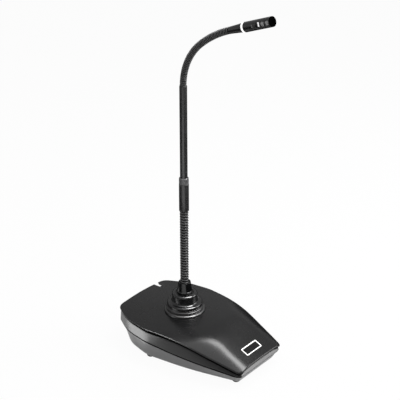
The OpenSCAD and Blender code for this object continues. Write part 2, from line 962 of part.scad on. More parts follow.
module light_frame() {
    color("#f7f7f5")
        at_key()
            difference() {
                slab(frame_l, frame_w, frame_corner_r, -frame_depth, 0.15);
                slab(
                    frame_l - 2 * frame_line,
                    frame_w - 2 * frame_line,
                    frame_corner_r / 2,
                    -far,
                    far
                );
            }
}

module key_cap() {
    color("#161617")
        at_key() {
            slab(key_l, key_w, frame_corner_r / 2, key_bottom, key_proud);
            slab(
                key_l + 2 * key_flange,
                key_w + 2 * key_flange,
                frame_corner_r / 2,
                key_bottom,
                key_bottom + key_flange_t
            );
        }
}

module switch_plunger() {
    color("#c9c9c4")
        at_key()
            rod(plunger_d / 2, switch_top - plunger_reach, key_bottom);
}

module key_switch() {
    hole = plunger_reach + key_travel + fit_gap;
    color("#303030")
        at_key()
            difference() {
                translate([-switch_side / 2, -switch_side / 2, -key_board_depth])
                    cube([switch_side, switch_side, switch_h]);
                rod(plunger_d / 2 + plunger_fit, switch_top - hole, far);
            }
}

module key_lamps() {
    color("#f2efe2")
        at_key()
            for (s = [-1, 1])
                translate([s * lamp_half - lamp_size[1] / 2, -lamp_size[0] / 2, -key_board_depth])
                    cube([lamp_size[1], lamp_size[0], lamp_size[2]]);
}

module key_board() {
    color("#1f5a36")
        at_key()
            difference() {
                translate([-key_board_l / 2, -key_board_w / 2, -key_board_depth - board_t])
                    cube([key_board_l, key_board_w, board_t]);
                for (s = [-1, 1])
                    translate([s * key_post_half, 0, 0])
                        rod(key_screw_d / 2 + screw_clear, -far, far);
            }
}

module key_board_screws() {
    color("#9a9a9a")
        at_key()
            for (s = [-1, 1])
                translate([s * key_post_half, 0, -key_board_depth - board_t])
                    screw(key_screw_d, 2 * key_screw_d, key_screw_head_h, board_t + key_screw_l - screw_slack);
}

module shock_mount() {
    lip_top = mount_seat_z + mount_lip_h;
    top = lip_top + bellows_h;
    rib = 0.7;
    inner = neck_d / 2 + slip;
    color("#141414")
        at_stem()
            rotate_extrude($fn = fine)
                polygon([
                    [inner, mount_under_z - mount_under_h],
                    [mount_d / 2, mount_under_z - mount_under_h],
                    [mount_d / 2, mount_under_z],
                    [mount_neck_d / 2, mount_under_z],
                    [mount_neck_d / 2, mount_seat_z],
                    [mount_d / 2, mount_seat_z],
                    [mount_d / 2, lip_top - 1],
                    [mount_d / 2 - 1, lip_top],
                    [bellows_d / 2 - rib, lip_top],
                    [bellows_d / 2 - rib, lip_top + bellows_h * 0.2],
                    [bellows_d / 2, lip_top + bellows_h * 0.35],
                    [bellows_d / 2, lip_top + bellows_h * 0.5],
                    [bellows_d / 2 - rib, lip_top + bellows_h * 0.65],
                    [bellows_d / 2 - rib, top],
                    [inner, top]
                ]);
}

module socket_collar() {
    r = collar_round;
    neck_fillet = 2;
    color("#101011")
        at_stem()
            difference() {
                union() {
                    rotate_extrude($fn = fine) {
                        translate([0, flange_z])
                            square([flange_d / 2, flange_h - r]);
                        translate([0, flange_z])
                            square([flange_d / 2 - r, flange_h]);
                        translate([flange_d / 2 - r, barrel_z - r])
                            circle(r = r, $fn = fine);
                    }
                    rod(barrel_d / 2, barrel_z - 1, socket_top - r);
                    rotate_extrude($fn = fine) {
                        translate([0, barrel_z - 1])
                            square([barrel_d / 2 - r, barrel_h + 1]);
                        translate([barrel_d / 2 - r, socket_top - r])
                            circle(r = r, $fn = fine);
                        difference() {
                            translate([barrel_d / 2 - 1, barrel_z - 1])
                                square([neck_fillet + 1, neck_fillet + 1]);
                            translate([barrel_d / 2 + neck_fillet, barrel_z + neck_fillet])
                                circle(r = neck_fillet, $fn = fine);
                        }
                    }
                    rod(neck_d / 2, neck_bottom_z, flange_z + 1);
                }
                rod(socket_bore_r, insert_base_z, far);
                rod(insert_r, 0, far);
            }
}

module socket_nut() {
    color("#77797c")
        at_stem()
            tube(
                mount_d / 2 - 2,
                neck_d / 2 + slip,
                mount_under_z - mount_under_h - nut_h - slip,
                mount_under_z - mount_under_h - slip
            );
}

module at_pins() {
    for (a = pin_angles)
        rotate([0, 0, a])
            translate([pin_circle_r, 0, 0])
                children();
}

module socket_insert() {
    color("#26272b")
        at_stem()
            difference() {
                union() {
                    rod(insert_r, insert_base_z + slip, insert_top);
                    rod(socket_bore_r - slip, insert_base_z + slip, insert_base_z + insert_base_t);
                }
                at_pins() {
                    rod(contact_r + slip, contact_z - slip, far);
                    rod(tail_r + slip, 0, far);
                }
            }
}

module socket_contacts() {
    color("#c9a84f")
        at_stem()
            at_pins()
                difference() {
                    union() {
                        rod(contact_r, contact_z, insert_top - fit_gap);
                        rod(tail_r, contact_z - tail_l, contact_z + bite);
                    }
                    rod(pin_d / 2 + slip, pin_bottom - fit_gap, far);
                }
}

module plug_shell() {
    r = 0.9;
    color("#121213")
        at_stem()
            difference() {
                union() {
                    rod(sleeve_d / 2, sleeve_z, socket_top - bead_sink);
                    rod(bead_d / 2, socket_top - bead_sink - bite, bead_z - r);
                    rotate_extrude($fn = fine) {
                        translate([0, socket_top])
                            square([bead_d / 2 - r, bead_h]);
                        translate([bead_d / 2 - r, bead_z - r])
                            circle(r = r, $fn = fine);
                    }
                    translate([0, 0, bead_z - bite])
                        cylinder(
                            r1 = taper_foot_d / 2,
                            r2 = taper_top_d / 2,
                            h = taper_h + bite,
                            $fn = fine
                        );
                }
                rod(sleeve_bore_d / 2, 0, plug_insert_z + plug_insert_t);
                rod(plug_hollow_r, 0, taper_top_z - spring_seat_l - 1);
                rod(core_d / 2 + core_gap, 0, far);
                rod(low_hold_r, taper_top_z - spring_seat_l, far);
                translate([0, 0, taper_top_z - 2 * mouth_h])
                    cylinder(
                        r1 = 2 * low_hold_r - mouth_r,
                        r2 = 2 * mouth_r - low_hold_r,
                        h = 3 * mouth_h,
                        $fn = fine
                    );
            }
}

module plug_insert() {
    color("#2e2f34")
        at_stem()
            difference() {
                rod(
                    sleeve_bore_d / 2 - slip,
                    plug_insert_z,
                    plug_insert_z + plug_insert_t - slip
                );
                at_pins()
                    rod(pin_d / 2 + slip, 0, far);
            }
}

module plug_pins() {
    color("#d8d8d4")
        at_stem()
            at_pins()
                rod(pin_d / 2, pin_bottom, pin_top);
}

// A coil's [distance along its axis, turn] pairs: a straight end, a lead, the curls, and the same again
function coil_pairs(start, end, curls, wire) =
    let (
        steps = round(curls * curl_steps),
        pitch = (end - start) / curls,
        sweep = -360 * curls,
        lead = pitch / 4 + lead_wires * wire,
        lead_offsets = [
            for (k = [1:lead_steps])
                let (t = k / lead_steps)
                    [pitch / 4 * t + lead_wires * wire * t * t, lead_turn * (2 * t - t * t)]
        ]
    )
        concat(
            [[start - lead - wire, lead_turn]],
            [for (k = [lead_steps - 1:-1:0]) [start - lead_offsets[k][0], lead_offsets[k][1]]],
            [for (i = [0:steps]) [start + (end - start) * i / steps, sweep * i / steps]],
            [for (k = [0:lead_steps - 1]) [end + lead_offsets[k][0], sweep - lead_offsets[k][1]]],
            [[end + lead + wire, sweep - lead_turn]]
        );

// A closed tube of triangles along a list of points, each with its outward direction
function tube_rings(path, outward, r) = [
    for (i = [0:len(path) - 1])
        let (
            along = unit(path[min(i + 1, len(path) - 1)] - path[max(i - 1, 0)]),
            across = unit(cross(along, outward[i])),
            out = cross(across, along)
        )
            for (k = [0:wire_sides - 1])
                path[i] + r * (cos(360 * k / wire_sides) * out + sin(360 * k / wire_sides) * across)
];

module wire_tube(path, outward, r) {
    n = len(path);
    m = wire_sides;
    polyhedron(
        points = tube_rings(path, outward, r),
        faces = concat(
            [for (k = [1:m - 2]) [0, k, k + 1]],
            [for (k = [1:m - 2]) [(n - 1) * m, (n - 1) * m + k + 1, (n - 1) * m + k]],
            [
                for (i = [0:n - 2], k = [0:m - 1])
                    [i * m + k, (i + 1) * m + k, i * m + (k + 1) % m]
            ],
            [
                for (i = [0:n - 2], k = [0:m - 1])
                    [i * m + (k + 1) % m, (i + 1) * m + k, (i + 1) * m + (k + 1) % m]
            ]
        )
    );
}

// Least distance between neighbouring curls, less the wire's own diameter
function least_gap(path, wire) = min([
    for (i = [0:len(path) - 1])
        for (j = [i + curl_steps - 3:min(i + 2 * curl_steps, len(path) - 1)])
            norm(path[i] - path[j]) - wire
]);

low_pairs = coil_pairs(low_start - spring_grip, low_end + spring_grip, low_curls, low_wire);
low_outward = [for (p = low_pairs) [cos(p[1]), sin(p[1]), 0]];
low_path = [
    for (i = [0:len(low_pairs) - 1])
        [0, 0, low_pairs[i][0]] + low_path_r * low_outward[i]
];
high_coil_end = high_len - high_lead - high_wire - fit_gap;
high_pairs = coil_pairs(-high_grip, high_coil_end, high_curls, high_wire);
high_outward = [
    for (p = high_pairs)
        cos(p[1]) * [1, 0, 0] + sin(p[1]) * neck_side(p[0])
];
high_path = [
    for (i = [0:len(high_pairs) - 1])
        neck_point(high_pairs[i][0]) + high_path_r * high_outward[i]
];
echo(lower_spring_least_gap = least_gap(low_path, low_wire));
echo(upper_spring_least_gap = least_gap(high_path, high_wire));

module lower_spring() {
    color("#2a2a2a")
        at_stem()
            wire_tube(low_path, low_outward, low_wire / 2);
}

module lower_core() {
    color("#1a1a1a")
        at_stem()
            rod(core_d / 2, pin_top + fit_gap, tube_start - fit_gap);
}

module joint_sleeve() {
    seat = low_end + spring_seat_l;
    color("#3b3b3d")
        at_stem()
            difference() {
                rod(joint_d / 2, low_end, joint_end);
                rod(low_hold_r, 0, seat);
                rod(core_d / 2 + core_gap, 0, far);
                rod(tube_d / 2 + slip, tube_start, far);
            }
}

module stem_collar() {
    chamfer = 0.8;
    color("#8e8e90")
        at_stem()
            rotate_extrude($fn = fine)
                polygon([
                    [tube_d / 2 + slip, ring_start],
                    [ring_d / 2, ring_start],
                    [ring_d / 2, ring_end - chamfer],
                    [ring_d / 2 - chamfer, ring_end],
                    [tube_d / 2 + slip, ring_end]
                ]);
}

module stem_tube() {
    color("#3b3b3d")
        at_stem()
            difference() {
                tube(tube_d / 2, tube_d / 2 - tube_wall, tube_start + slip, tube_end);
                rod(high_hold_r, tube_end - high_grip - high_lead - high_wire - fit_gap, far);
            }
}

module stem_core() {
    color("#1a1a1a")
        at_stem()
            rod(core_d / 2, tube_start + fit_gap, tube_end - fit_gap);
}

module upper_spring() {
    color("#2a2a2a")
        at_stem()
            wire_tube(high_path, high_outward, high_wire / 2);
}

// The wire core in the upper gooseneck follows the two arcs as true bends, with a crimp between them
module upper_core() {
    color("#1a1a1a")
        at_stem() {
            translate(neck_point(arc_1))
                rotate([bend_turn1, 0, 0])
                    rod(core_d / 2 + crimp_t, -crimp_l / 2, crimp_l / 2);
            translate([0, -bend_r1, tube_end])
                rotate([90, 0, 90])
                    rotate_extrude(angle = bend_turn1, $fn = fine)
                        translate([bend_r1, 0])
                            circle(r = core_d / 2, $fn = fine);
            translate(neck_point(arc_1))
                rotate([bend_turn1, 0, 0])
                    translate([0, -bend_r2, 0])
                        rotate([90, 0, 90])
                            rotate_extrude(
                                angle = bend_turn2 - (spigot_l + fit_gap) / bend_r2 * 180 / PI,
                                $fn = fine
                            )
                                translate([bend_r2, 0])
                                    circle(r = core_d / 2, $fn = fine);
        }
}

module head_cone() {
    color("#262627")
        at_head()
            difference() {
                union() {
                    cylinder(r1 = cone_foot_r, r2 = cone_top_r, h = cone_l, $fn = fine);
                    rod(spigot_r, -spigot_l, bite);
                }
                rod(spigot_r / 2, -far, far);
                rod(lamp_r + slip, cone_l - lamp_sink - slip, far);
            }
}

module light_ring() {
    color("#fbfbf8")
        at_head()
            tube(light_r, lamp_r + slip, light_start + slip, house_start - slip);
}

module ring_lamp() {
    color("#e9e6d8")
        at_head()
            rod(lamp_r, light_start - lamp_sink, house_start - fit_gap);
}

module capsule_housing() {
    color("#1b1b1c")
        at_head()
            difference() {
                tube(head_r, head_r - head_wall, house_start, house_end);
                for (i = [0:slot_count - 1])
                    translate([0, 0, house_start + slot_start + i * (slot_l + slot_rib) + slot_l / 2])
                        rotate([0, 90, 0])
                            translate([0, 0, -far / 2])
                                linear_extrude(far)
                                    soft_rectangle(slot_l, slot_w, 0.8);
            }
}

module capsule_sleeve() {
    color("#c7c8ca")
        at_head()
            tube(sleeve_r, sleeve_r - sleeve_t, house_start + sleeve_back, house_end - slip);
}

module capsule() {
    back = house_start + capsule_back;
    color("#b9b9bb")
        at_head()
            rod(sleeve_r - sleeve_t - slip, back, back + capsule_l);
}

module front_grille() {
    hole_r = 0.42;
    hole_step = 1.25;
    color("#141415")
        at_head()
            difference() {
                union() {
                    rod(head_r, house_end + slip, head_end - grille_round);
                    rotate_extrude($fn = fine) {
                        translate([0, house_end + slip])
                            square([head_r - grille_round, grille_t - slip]);
                        translate([head_r - grille_round, head_end - grille_round])
                            circle(r = grille_round, $fn = fine);
                    }
                }
                for (q = [-2:2], w = [-2:2])
                    if (abs(q + w) <= 2)
                        translate([hole_step * (q + w / 2), hole_step * w * sqrt(3) / 2, 0])
                            rod(hole_r, house_end - 1, far);
            }
}

module connector_bay() {
    color("#2b2b2d")
        at_stem()
            difference() {
                intersection() {
                    bay_block(bay_wall, bay_z, bay_back);
                    union() {
                        shell_loft(0, 0);
                        intersection() {
                            band_loft(0, 0);
                            above_seam(0);
                        }
                    }
                    under_top(cover_t + fit_gap);
                }
                bay_block(0, bay_z, bay_back);
                translate([out_x, 0, bay_z + out_lift])
                    rotate([-90, 0, 0])
                        rod(out_body_r + slip, 0, far);
            }
}

module output_shell() {
    color("#4a4b4e")
        at_output()
            difference() {
                union() {
                    rod(out_flange_r, slip, out_flange_t);
                    rod(out_body_r, -out_depth, out_flange_t / 2);
                }
                rod(socket_bore_r, -out_depth + out_back_t, far);
                rod(insert_r, -far, far);
            }
}

module output_insert() {
    color("#26272b")
        at_output()
            difference() {
                union() {
                    rod(socket_bore_r - slip, -out_depth + out_back_t + slip, -out_depth + out_back_t + 2);
                    rod(insert_r - slip, -out_depth - 1, -out_depth + out_back_t + 1);
                }
                at_pins()
                    rod(pin_d / 2 + slip, -far, far);
            }
}

module output_pins() {
    color("#d8d8d4")
        at_output()
            at_pins()
                rod(pin_d / 2, -out_depth - 3, 0);
}

module output_nut() {
    color("#77797c")
        at_output()
            tube(out_flange_r, out_body_r + slip, -bay_wall - out_back_t - slip, -bay_wall - slip);
}

top_cover();
side_band();
lower_shell();
ballast_plate();
rubber_feet();
housing_screws();
main_board();
board_parts();
board_screws();
light_frame();
key_board();
key_board_screws();
key_switch();
key_lamps();
key_cap();
switch_plunger();
shock_mount();
socket_collar();
socket_insert();
socket_contacts();
socket_nut();
connector_bay();
output_shell();
output_insert();
output_pins();
output_nut();
plug_shell();
plug_insert();
plug_pins();
lower_spring();
lower_core();
joint_sleeve();
stem_collar();
stem_tube();
stem_core();
upper_spring();
upper_core();
head_cone();
light_ring();
ring_lamp();
capsule_housing();
capsule_sleeve();
capsule();
front_grille();
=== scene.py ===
# %% [markdown]
# # A gooseneck desk microphone
# The imported model gives every solid piece in its real place, in metres. This lesson dresses
# it: the moulded base gets softer surfaces, the turned pieces get fine lathe shapes, the two
# goosenecks get real wound wire, and every piece gets a finish made of shader nodes. We load
# the frame first.

# %% Load the frame
import json

import bpy
import numpy as np
from mathutils import Matrix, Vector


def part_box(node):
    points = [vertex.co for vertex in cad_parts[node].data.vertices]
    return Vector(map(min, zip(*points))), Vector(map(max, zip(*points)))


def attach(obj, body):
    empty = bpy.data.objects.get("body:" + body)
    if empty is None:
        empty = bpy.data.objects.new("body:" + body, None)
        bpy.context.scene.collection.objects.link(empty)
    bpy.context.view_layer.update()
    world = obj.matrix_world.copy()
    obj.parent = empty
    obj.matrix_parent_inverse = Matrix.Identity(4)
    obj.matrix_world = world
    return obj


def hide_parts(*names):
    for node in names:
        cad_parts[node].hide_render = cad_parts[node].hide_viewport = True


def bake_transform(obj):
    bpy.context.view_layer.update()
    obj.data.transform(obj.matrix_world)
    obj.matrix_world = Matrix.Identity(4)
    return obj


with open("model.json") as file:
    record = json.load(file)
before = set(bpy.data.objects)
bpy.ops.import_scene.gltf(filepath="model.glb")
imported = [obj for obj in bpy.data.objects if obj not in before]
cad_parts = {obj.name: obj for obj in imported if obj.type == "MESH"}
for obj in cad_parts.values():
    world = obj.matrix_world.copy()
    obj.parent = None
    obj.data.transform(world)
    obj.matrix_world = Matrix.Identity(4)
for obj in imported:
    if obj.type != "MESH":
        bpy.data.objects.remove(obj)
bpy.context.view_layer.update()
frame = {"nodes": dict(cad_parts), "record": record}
MM = 0.001

# %% [markdown]
# ## The camera
# The photo was taken from the front left, a little above, with a long lens. A camera is fixed
# by its direction, its lens and one known point: the stem's axis, at a height where the photo
# shows it at a known pixel. From the lens and the pixel we work back to where the camera stood.

# %% Place the camera
VIEW_TURN = np.radians(-50.3)
VIEW_PITCH = np.radians(25.5)
SENSOR_MM = 36.0
LENS_MM = 94.5
IMAGE_PX = 400
FOCAL_PX = LENS_MM / SENSOR_MM * IMAGE_PX
MARK_HEIGHT = 208 * MM
MARK_PX = np.array([183.8, 172.5])
MARK_DEPTH = 1100.9 * MM


def add_object(name, data):
    """A new object of the scene that shows the data."""
    thing = bpy.data.objects.new(name, data)
    bpy.context.scene.collection.objects.link(thing)
    return thing


def set_pose(thing, side, up, back, place):
    """Turns an object so that its own X, Y and Z axes point as given, and moves it to a place."""
    pose = np.eye(4)
    pose[:3] = np.stack([side, up, back, place], axis=1)
    thing.matrix_world = Matrix(pose.tolist())


stem_low, stem_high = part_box("stem_tube")
stem_x, stem_y, _ = np.array(stem_low + stem_high) / 2
right = np.array([np.cos(VIEW_TURN), np.sin(VIEW_TURN), 0.0])
forward_part = np.array([np.sin(VIEW_TURN), -np.cos(VIEW_TURN), 0.0])
toward_camera = forward_part * np.cos(VIEW_PITCH) + np.array([0, 0, np.sin(VIEW_PITCH)])
upward = np.cross(toward_camera, right)
shift = (MARK_PX - IMAGE_PX / 2) / FOCAL_PX * MARK_DEPTH
mark = np.array([stem_x, stem_y, MARK_HEIGHT])
camera_place = mark + toward_camera * MARK_DEPTH - right * shift[0] + upward * shift[1]

camera_data = bpy.data.cameras.new("photo_camera")
camera_data.sensor_width = SENSOR_MM
camera_data.lens = LENS_MM
camera_data.clip_start = 0.01
camera = add_object("photo_camera", camera_data)
set_pose(camera, right, upward, toward_camera, camera_place)
bpy.context.scene.camera = camera
print("camera at", np.round(camera_place, 4))

# %% [markdown]
# ## Helpers for surfaces
# Every new piece is a grid of points: rows along one parameter, columns along the other. The
# helper turns such a grid into a mesh of four-sided faces. Columns wrap round, rows can too, and
# an open end can be closed with one flat face.


# %% Turn a grid of points into a mesh
def soften(mesh, sharp):
    """Smooth shading, except across edges that turn by more than the sharp angle."""
    mesh.polygons.foreach_set("use_smooth", np.ones(len(mesh.polygons), bool))
    mesh.set_sharp_from_angle(angle=np.radians(sharp))
    mesh.update()


def surface(name, grid, wrap_rows=False, caps=False, sharp=40):
    """Faces join each point to its neighbours in the next row and the next column.

    Columns always wrap round. Wrapped rows join the last row to the first, and caps close
    the first and the last row with one flat face each.
    """
    rows, columns = grid.shape[:2]
    number = np.arange(rows * columns).reshape(rows, columns)
    row_next = np.roll(number, -1, axis=0)
    corners = [number, np.roll(number, -1, axis=1), np.roll(row_next, -1, axis=1), row_next]
    faces = np.stack(corners, axis=-1)[: rows if wrap_rows else rows - 1]
    face_list = faces.reshape(-1, 4).tolist()
    if caps:
        face_list += [number[0][::-1].tolist(), number[-1].tolist()]
    mesh = bpy.data.meshes.new(name)
    mesh.from_pydata(grid.reshape(-1, 3).tolist(), [], face_list)
    soften(mesh, sharp)
    return add_object(name, mesh)


print("grid helper ready")

# %% [markdown]
# A moulded or turned piece has rounded corners. One function rounds the corners of any closed
# polygon with arcs that touch both edges. We use it for the base's outline and for the profiles
# of the turned pieces.

# %% Round the corners of a polygon
EDGE_SHARE = 0.48


def corner_sides(corners):
    """For each corner: unit edges back and ahead, the shorter length, half angle and bisector."""
    back = np.roll(corners, 1, axis=0) - corners
    ahead = np.roll(corners, -1, axis=0) - corners
    back_length = np.linalg.norm(back, axis=1)
    ahead_length = np.linalg.norm(ahead, axis=1)
    back /= back_length[:, None]
    ahead /= ahead_length[:, None]
    half = np.arccos(np.clip((back * ahead).sum(1), -1, 1)) / 2
    bisector = (back + ahead) / np.linalg.norm(back + ahead, axis=1)[:, None]
    return back, ahead, np.minimum(back_length, ahead_length), half, bisector


def rounded(corners, radii, steps):
    """Each corner becomes an arc that touches both its edges, as rows of one arc each.

    The arc's middle lies on the corner's bisector, at radius / sin(half angle) from the corner,
    and the arc turns evenly from one touching point to the other. A radius that is too large
    for the edges beside it is cut to what fits.
    """
    corners = np.asarray(corners, float)
    back, ahead, shorter, half, bisector = corner_sides(corners)
    fitting = EDGE_SHARE * shorter * np.tan(half)
    radius = np.minimum(radii, fitting)
    middle = corners + bisector * (radius / np.sin(half))[:, None]
    touch = (radius / np.tan(half))[:, None]
    first = (corners + back * touch - middle)[:, None]
    last = (corners + ahead * touch - middle)[:, None]
    turn = (np.pi - 2 * half)[:, None, None]
    share = np.linspace(0, 1, steps)[None, :, None]
    swing = np.sin((1 - share) * turn) * first + np.sin(share * turn) * last
    return middle[:, None] + swing / np.sin(turn)


print("corner rounding ready")

# %% [markdown]
# Holes and notches are cut with a Boolean modifier that we apply at once: the cutter is a closed
# prism, and it is deleted after the cut, so only the finished mesh stays.


# %% Carve a piece with a prism
def prism(name, outline, low, high, place=Matrix()):
    """A closed prism: the outline at two heights, then moved by a 4 x 4 matrix."""
    grid = np.empty((2, len(outline), 3))
    grid[..., :2] = outline
    grid[..., 2] = np.array([[low], [high]])
    piece = surface(name, grid, caps=True)
    piece.data.transform(place)
    return piece


def carve(piece, cutter, sharp=40):
    """What lies inside the cutter is taken away from the piece, and the cutter is deleted."""
    cut = piece.modifiers.new("carve", "BOOLEAN")
    cut.operation = "DIFFERENCE"
    cut.solver = "EXACT"
    cut.object = cutter
    seen = piece.evaluated_get(bpy.context.evaluated_depsgraph_get())
    carved = bpy.data.meshes.new_from_object(seen)
    piece.modifiers.clear()
    plain = piece.data
    piece.data = carved
    carved.name = piece.name
    bpy.data.meshes.remove(plain)
    bpy.data.objects.remove(cutter)
    soften(carved, sharp)


def box_outline(x_low, x_high, y_low, y_high):
    """The four corners of a rectangle, counter-clockwise."""
    return np.array([[x_low, y_low], [x_high, y_low], [x_high, y_high], [x_low, y_high]])


print("carving ready")

# %% [markdown]
# ## Finishes
# Each finish is one small node tree. Texture coordinates are Object coordinates, so a grain
# keeps its real size on every piece: a noise scale of 2000 means grains about half a millimetre
# wide. Values that are the same all over are set on the shader's own sockets.


# %% Building blocks of a finish
RAMP_ENDS = (0.35, 0.65)
GLOSS_ENDS = (0.3, 0.7)


def add_node(tree, kind, values, source, socket):
    """A new node with its sockets set by name, and a link from the source into one of them."""
    node = tree.nodes.new(kind)
    for name, value in values.items():
        node.inputs[name].default_value = value
    tree.links.new(source, node.inputs[socket])
    return node


def new_finish(name, colour, roughness, more):
    """A material with one Principled shader, whose sockets are set by name."""
    material = bpy.data.materials.new(name)
    material.use_nodes = True
    values = {"Base Color": (*colour, 1), "Roughness": roughness, **more}
    for socket, value in values.items():
        material.node_tree.nodes["Principled BSDF"].inputs[socket].default_value = value
    return material


def to_shader(material, output, socket):
    """Links a node's output to a socket of the material's shader."""
    shader = material.node_tree.nodes["Principled BSDF"]
    material.node_tree.links.new(output, shader.inputs[socket])


def pattern(material, scale, detail):
    """A noise on Object coordinates. Its scale is about the number of grains in a metre."""
    place = material.node_tree.nodes.new("ShaderNodeTexCoord").outputs["Object"]
    values = {"Scale": scale, "Detail": detail}
    noise = add_node(material.node_tree, "ShaderNodeTexNoise", values, place, "Vector")
    return noise.outputs["Fac"]


def vary_colour(material, value, colour, low, high):
    """The base colour, times a factor, runs from low to high with the pattern."""
    ramp = add_node(material.node_tree, "ShaderNodeValToRGB", {}, value, "Fac")
    for stop, position, factor in zip(ramp.color_ramp.elements, RAMP_ENDS, (low, high)):
        stop.position = position
        stop.color = (*(min(1.0, c * factor) for c in colour), 1)
    to_shader(material, ramp.outputs["Color"], "Base Color")


def map_range(tree, value, ends, low, high):
    """A value between two ends becomes one between low and high."""
    values = {"From Min": ends[0], "From Max": ends[1], "To Min": low, "To Max": high}
    return add_node(tree, "ShaderNodeMapRange", values, value, "Value").outputs["Result"]


def vary_roughness(material, value, low, high):
    """The roughness runs from low to high with the pattern."""
    gloss = map_range(material.node_tree, value, GLOSS_ENDS, low, high)
    to_shader(material, gloss, "Roughness")


def emboss(material, value, strength, depth):
    """The pattern becomes bumps of that depth."""
    values = {"Strength": strength, "Distance": depth}
    bump = add_node(material.node_tree, "ShaderNodeBump", values, value, "Height")
    to_shader(material, bump.outputs["Normal"], "Normal")


print("finish helpers ready")

# %% [markdown]
# The base is moulded plastic with a fine spark grain that scatters highlights. The stem, plug,
# springs and head are painted metal, smoother, with a slight orange peel. Rubber is dull and
# dusty, bare metal has fine tool marks, light guides are milky with a painted white glow, and a
# circuit board shows copper under its lacquer. One function makes them all from a few numbers for
# each kind.

# %% Kinds of finish
MOULDED = dict(
    cloud=(28, 3), tint=(0.92, 1.08), gloss=(-0.03, 0.03), grain=(2200, 2), bump=(0.25, 0.02)
)
PAINTED = dict(
    cloud=(60, 3), tint=(0.9, 1.1), gloss=(-0.03, 0.04), grain=(420, 1), bump=(0.03, 0.02)
)
RUBBER = dict(cloud=(120, 6), tint=(0.85, 1.3), grain=(1500, 3), bump=(0.2, 0.03))
METAL = dict(cloud=(1800, 3), gloss=(-0.06, 0.08), bump=(0.12, 0.02))
MILKY = dict(cloud=(300, 3), tint=(0.96, 1.03))
CIRCUIT = dict(cloud=(160, 1), tint=(0.7, 1.5), bump=(0.1, 0.05))


def finish(name, colour, roughness, more, cloud, tint=None, gloss=None, grain=None, bump=None):
    """A cloud tints the colour and shifts the gloss. A grain, or else the cloud, makes bumps.

    Cloud and grain are a noise's scale and detail. Tint is two factors on the colour, gloss is
    two steps from the roughness, and bump is a strength and a depth in millimetres.
    """
    material = new_finish(name, colour, roughness, more)
    wide = pattern(material, *cloud)
    fine = pattern(material, *grain) if grain else wide
    if tint:
        vary_colour(material, wide, colour, *tint)
    if gloss:
        vary_roughness(material, wide, roughness + gloss[0], roughness + gloss[1])
    if bump:
        emboss(material, fine, bump[0], bump[1] * MM)
    return material


print("finish function ready")

# %% [markdown]
# The record names a slot for every solid. A plan lists the kind, the colour and the roughness for
# each slot, with any further sockets. Pieces that hardly show take their colour from the record.
# The grille's end face is black in the photo, so it gets the dull black of the core.

# %% One finish for each slot of the record
SPECULAR = "Specular IOR Level"
BARE = {"Metallic": 1.0}
COAT = {"Coat Weight": 0.3, "Coat Roughness": 0.08}
# A painted glow: emission keeps the milky light guides of the key frame and the head's ring pure
# white.
PAINTED_GLOW = {"Emission Color": (0.96, 0.96, 0.95, 1), "Emission Strength": 0.75}
FINISH_PLAN = {
    "cover_black": (MOULDED, (0.007, 0.007, 0.0073), 0.26, {SPECULAR: 0.45}),
    "band_grey": (MOULDED, (0.008, 0.008, 0.0082), 0.34, {SPECULAR: 0.55}),
    "shell_grey": (MOULDED, (0.18, 0.18, 0.182), 0.4, {}),
    "ballast_steel": (METAL, None, 0.4, BARE),
    "foot_rubber": (RUBBER, None, 0.7, {SPECULAR: 0.4}),
    "screw_steel": (METAL, None, 0.3, BARE),
    "board_green": (CIRCUIT, None, 0.4, {}),
    "board_black": (MOULDED, None, 0.35, {}),
    "lamp_white": (MILKY, (0.96, 0.96, 0.95), 0.3, PAINTED_GLOW),
    "key_black": (MOULDED, (0.004, 0.004, 0.0042), 0.34, {SPECULAR: 0.2}),
    "plunger_ivory": (MOULDED, None, 0.4, {}),
    "mount_rubber": (RUBBER, (0.005, 0.005, 0.005), 0.36, {SPECULAR: 0.9}),
    "collar_black": (PAINTED, (0.004, 0.004, 0.0045), 0.2, {SPECULAR: 0.7}),
    "insert_black": (MOULDED, None, 0.5, {}),
    "contact_brass": (METAL, None, 0.25, BARE),
    "pin_bright": (METAL, None, 0.15, BARE),
    "nut_steel": (METAL, None, 0.35, BARE),
    "plug_black": (PAINTED, (0.004, 0.004, 0.0045), 0.16, COAT),
    "spring_black": (PAINTED, (0.085, 0.085, 0.086), 0.3, {}),
    # Near-black with no reflection: the rubber core is black, and the missing reflection is painted
    # shade on the filler and core between the curls and on the lips behind the base's gaps.
    "core_black": (RUBBER, (0.002, 0.002, 0.002), 0.8, {SPECULAR: 0.0}),
    "stem_grey": (PAINTED, (0.03, 0.03, 0.0305), 0.27, {SPECULAR: 1.0}),
    "ring_grey": (PAINTED, (0.13, 0.13, 0.132), 0.3, {SPECULAR: 0.8}),
    "head_black": (PAINTED, (0.014, 0.014, 0.0145), 0.3, {}),
    "sleeve_bright": (PAINTED, (0.3, 0.3, 0.3), 0.35, {}),
    "output_metal": (PAINTED, None, 0.4, {}),
}
slot_colour = {m["slot"]: tuple(m["base_color"][:3]) for m in frame["record"]["materials"]}
finishes = {}
for slot, (kind, colour, roughness, more) in FINISH_PLAN.items():
    finishes[slot] = finish(slot, colour or slot_colour[slot], roughness, more, **kind)
for entry in frame["record"]["subparts"]:
    solid = frame["nodes"][entry["node"]]
    solid.data.materials.clear()
    solid.data.materials.append(finishes[entry["material_slot"]])
frame["nodes"]["front_grille"].data.materials[0] = finishes["core_black"]


def settle(piece, slot, body, *nodes):
    """Gives a new piece its finish, its body and the solids that it stands for."""
    piece.data.materials.clear()
    piece.data.materials.append(finishes[slot])
    if body:
        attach(piece, body)
    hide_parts(*nodes)
    print(piece.name, "has", len(piece.data.polygons), "faces")


# %% [markdown]
# ## The base's outline
# Seen from above, the base is a long shield: narrow at the front, widest a little behind the
# stem. Its corners, radii and tapers are few, and the outline follows from them. A second
# outline, set in at the bottom, gives the tapered sides. We work from the stem's axis.

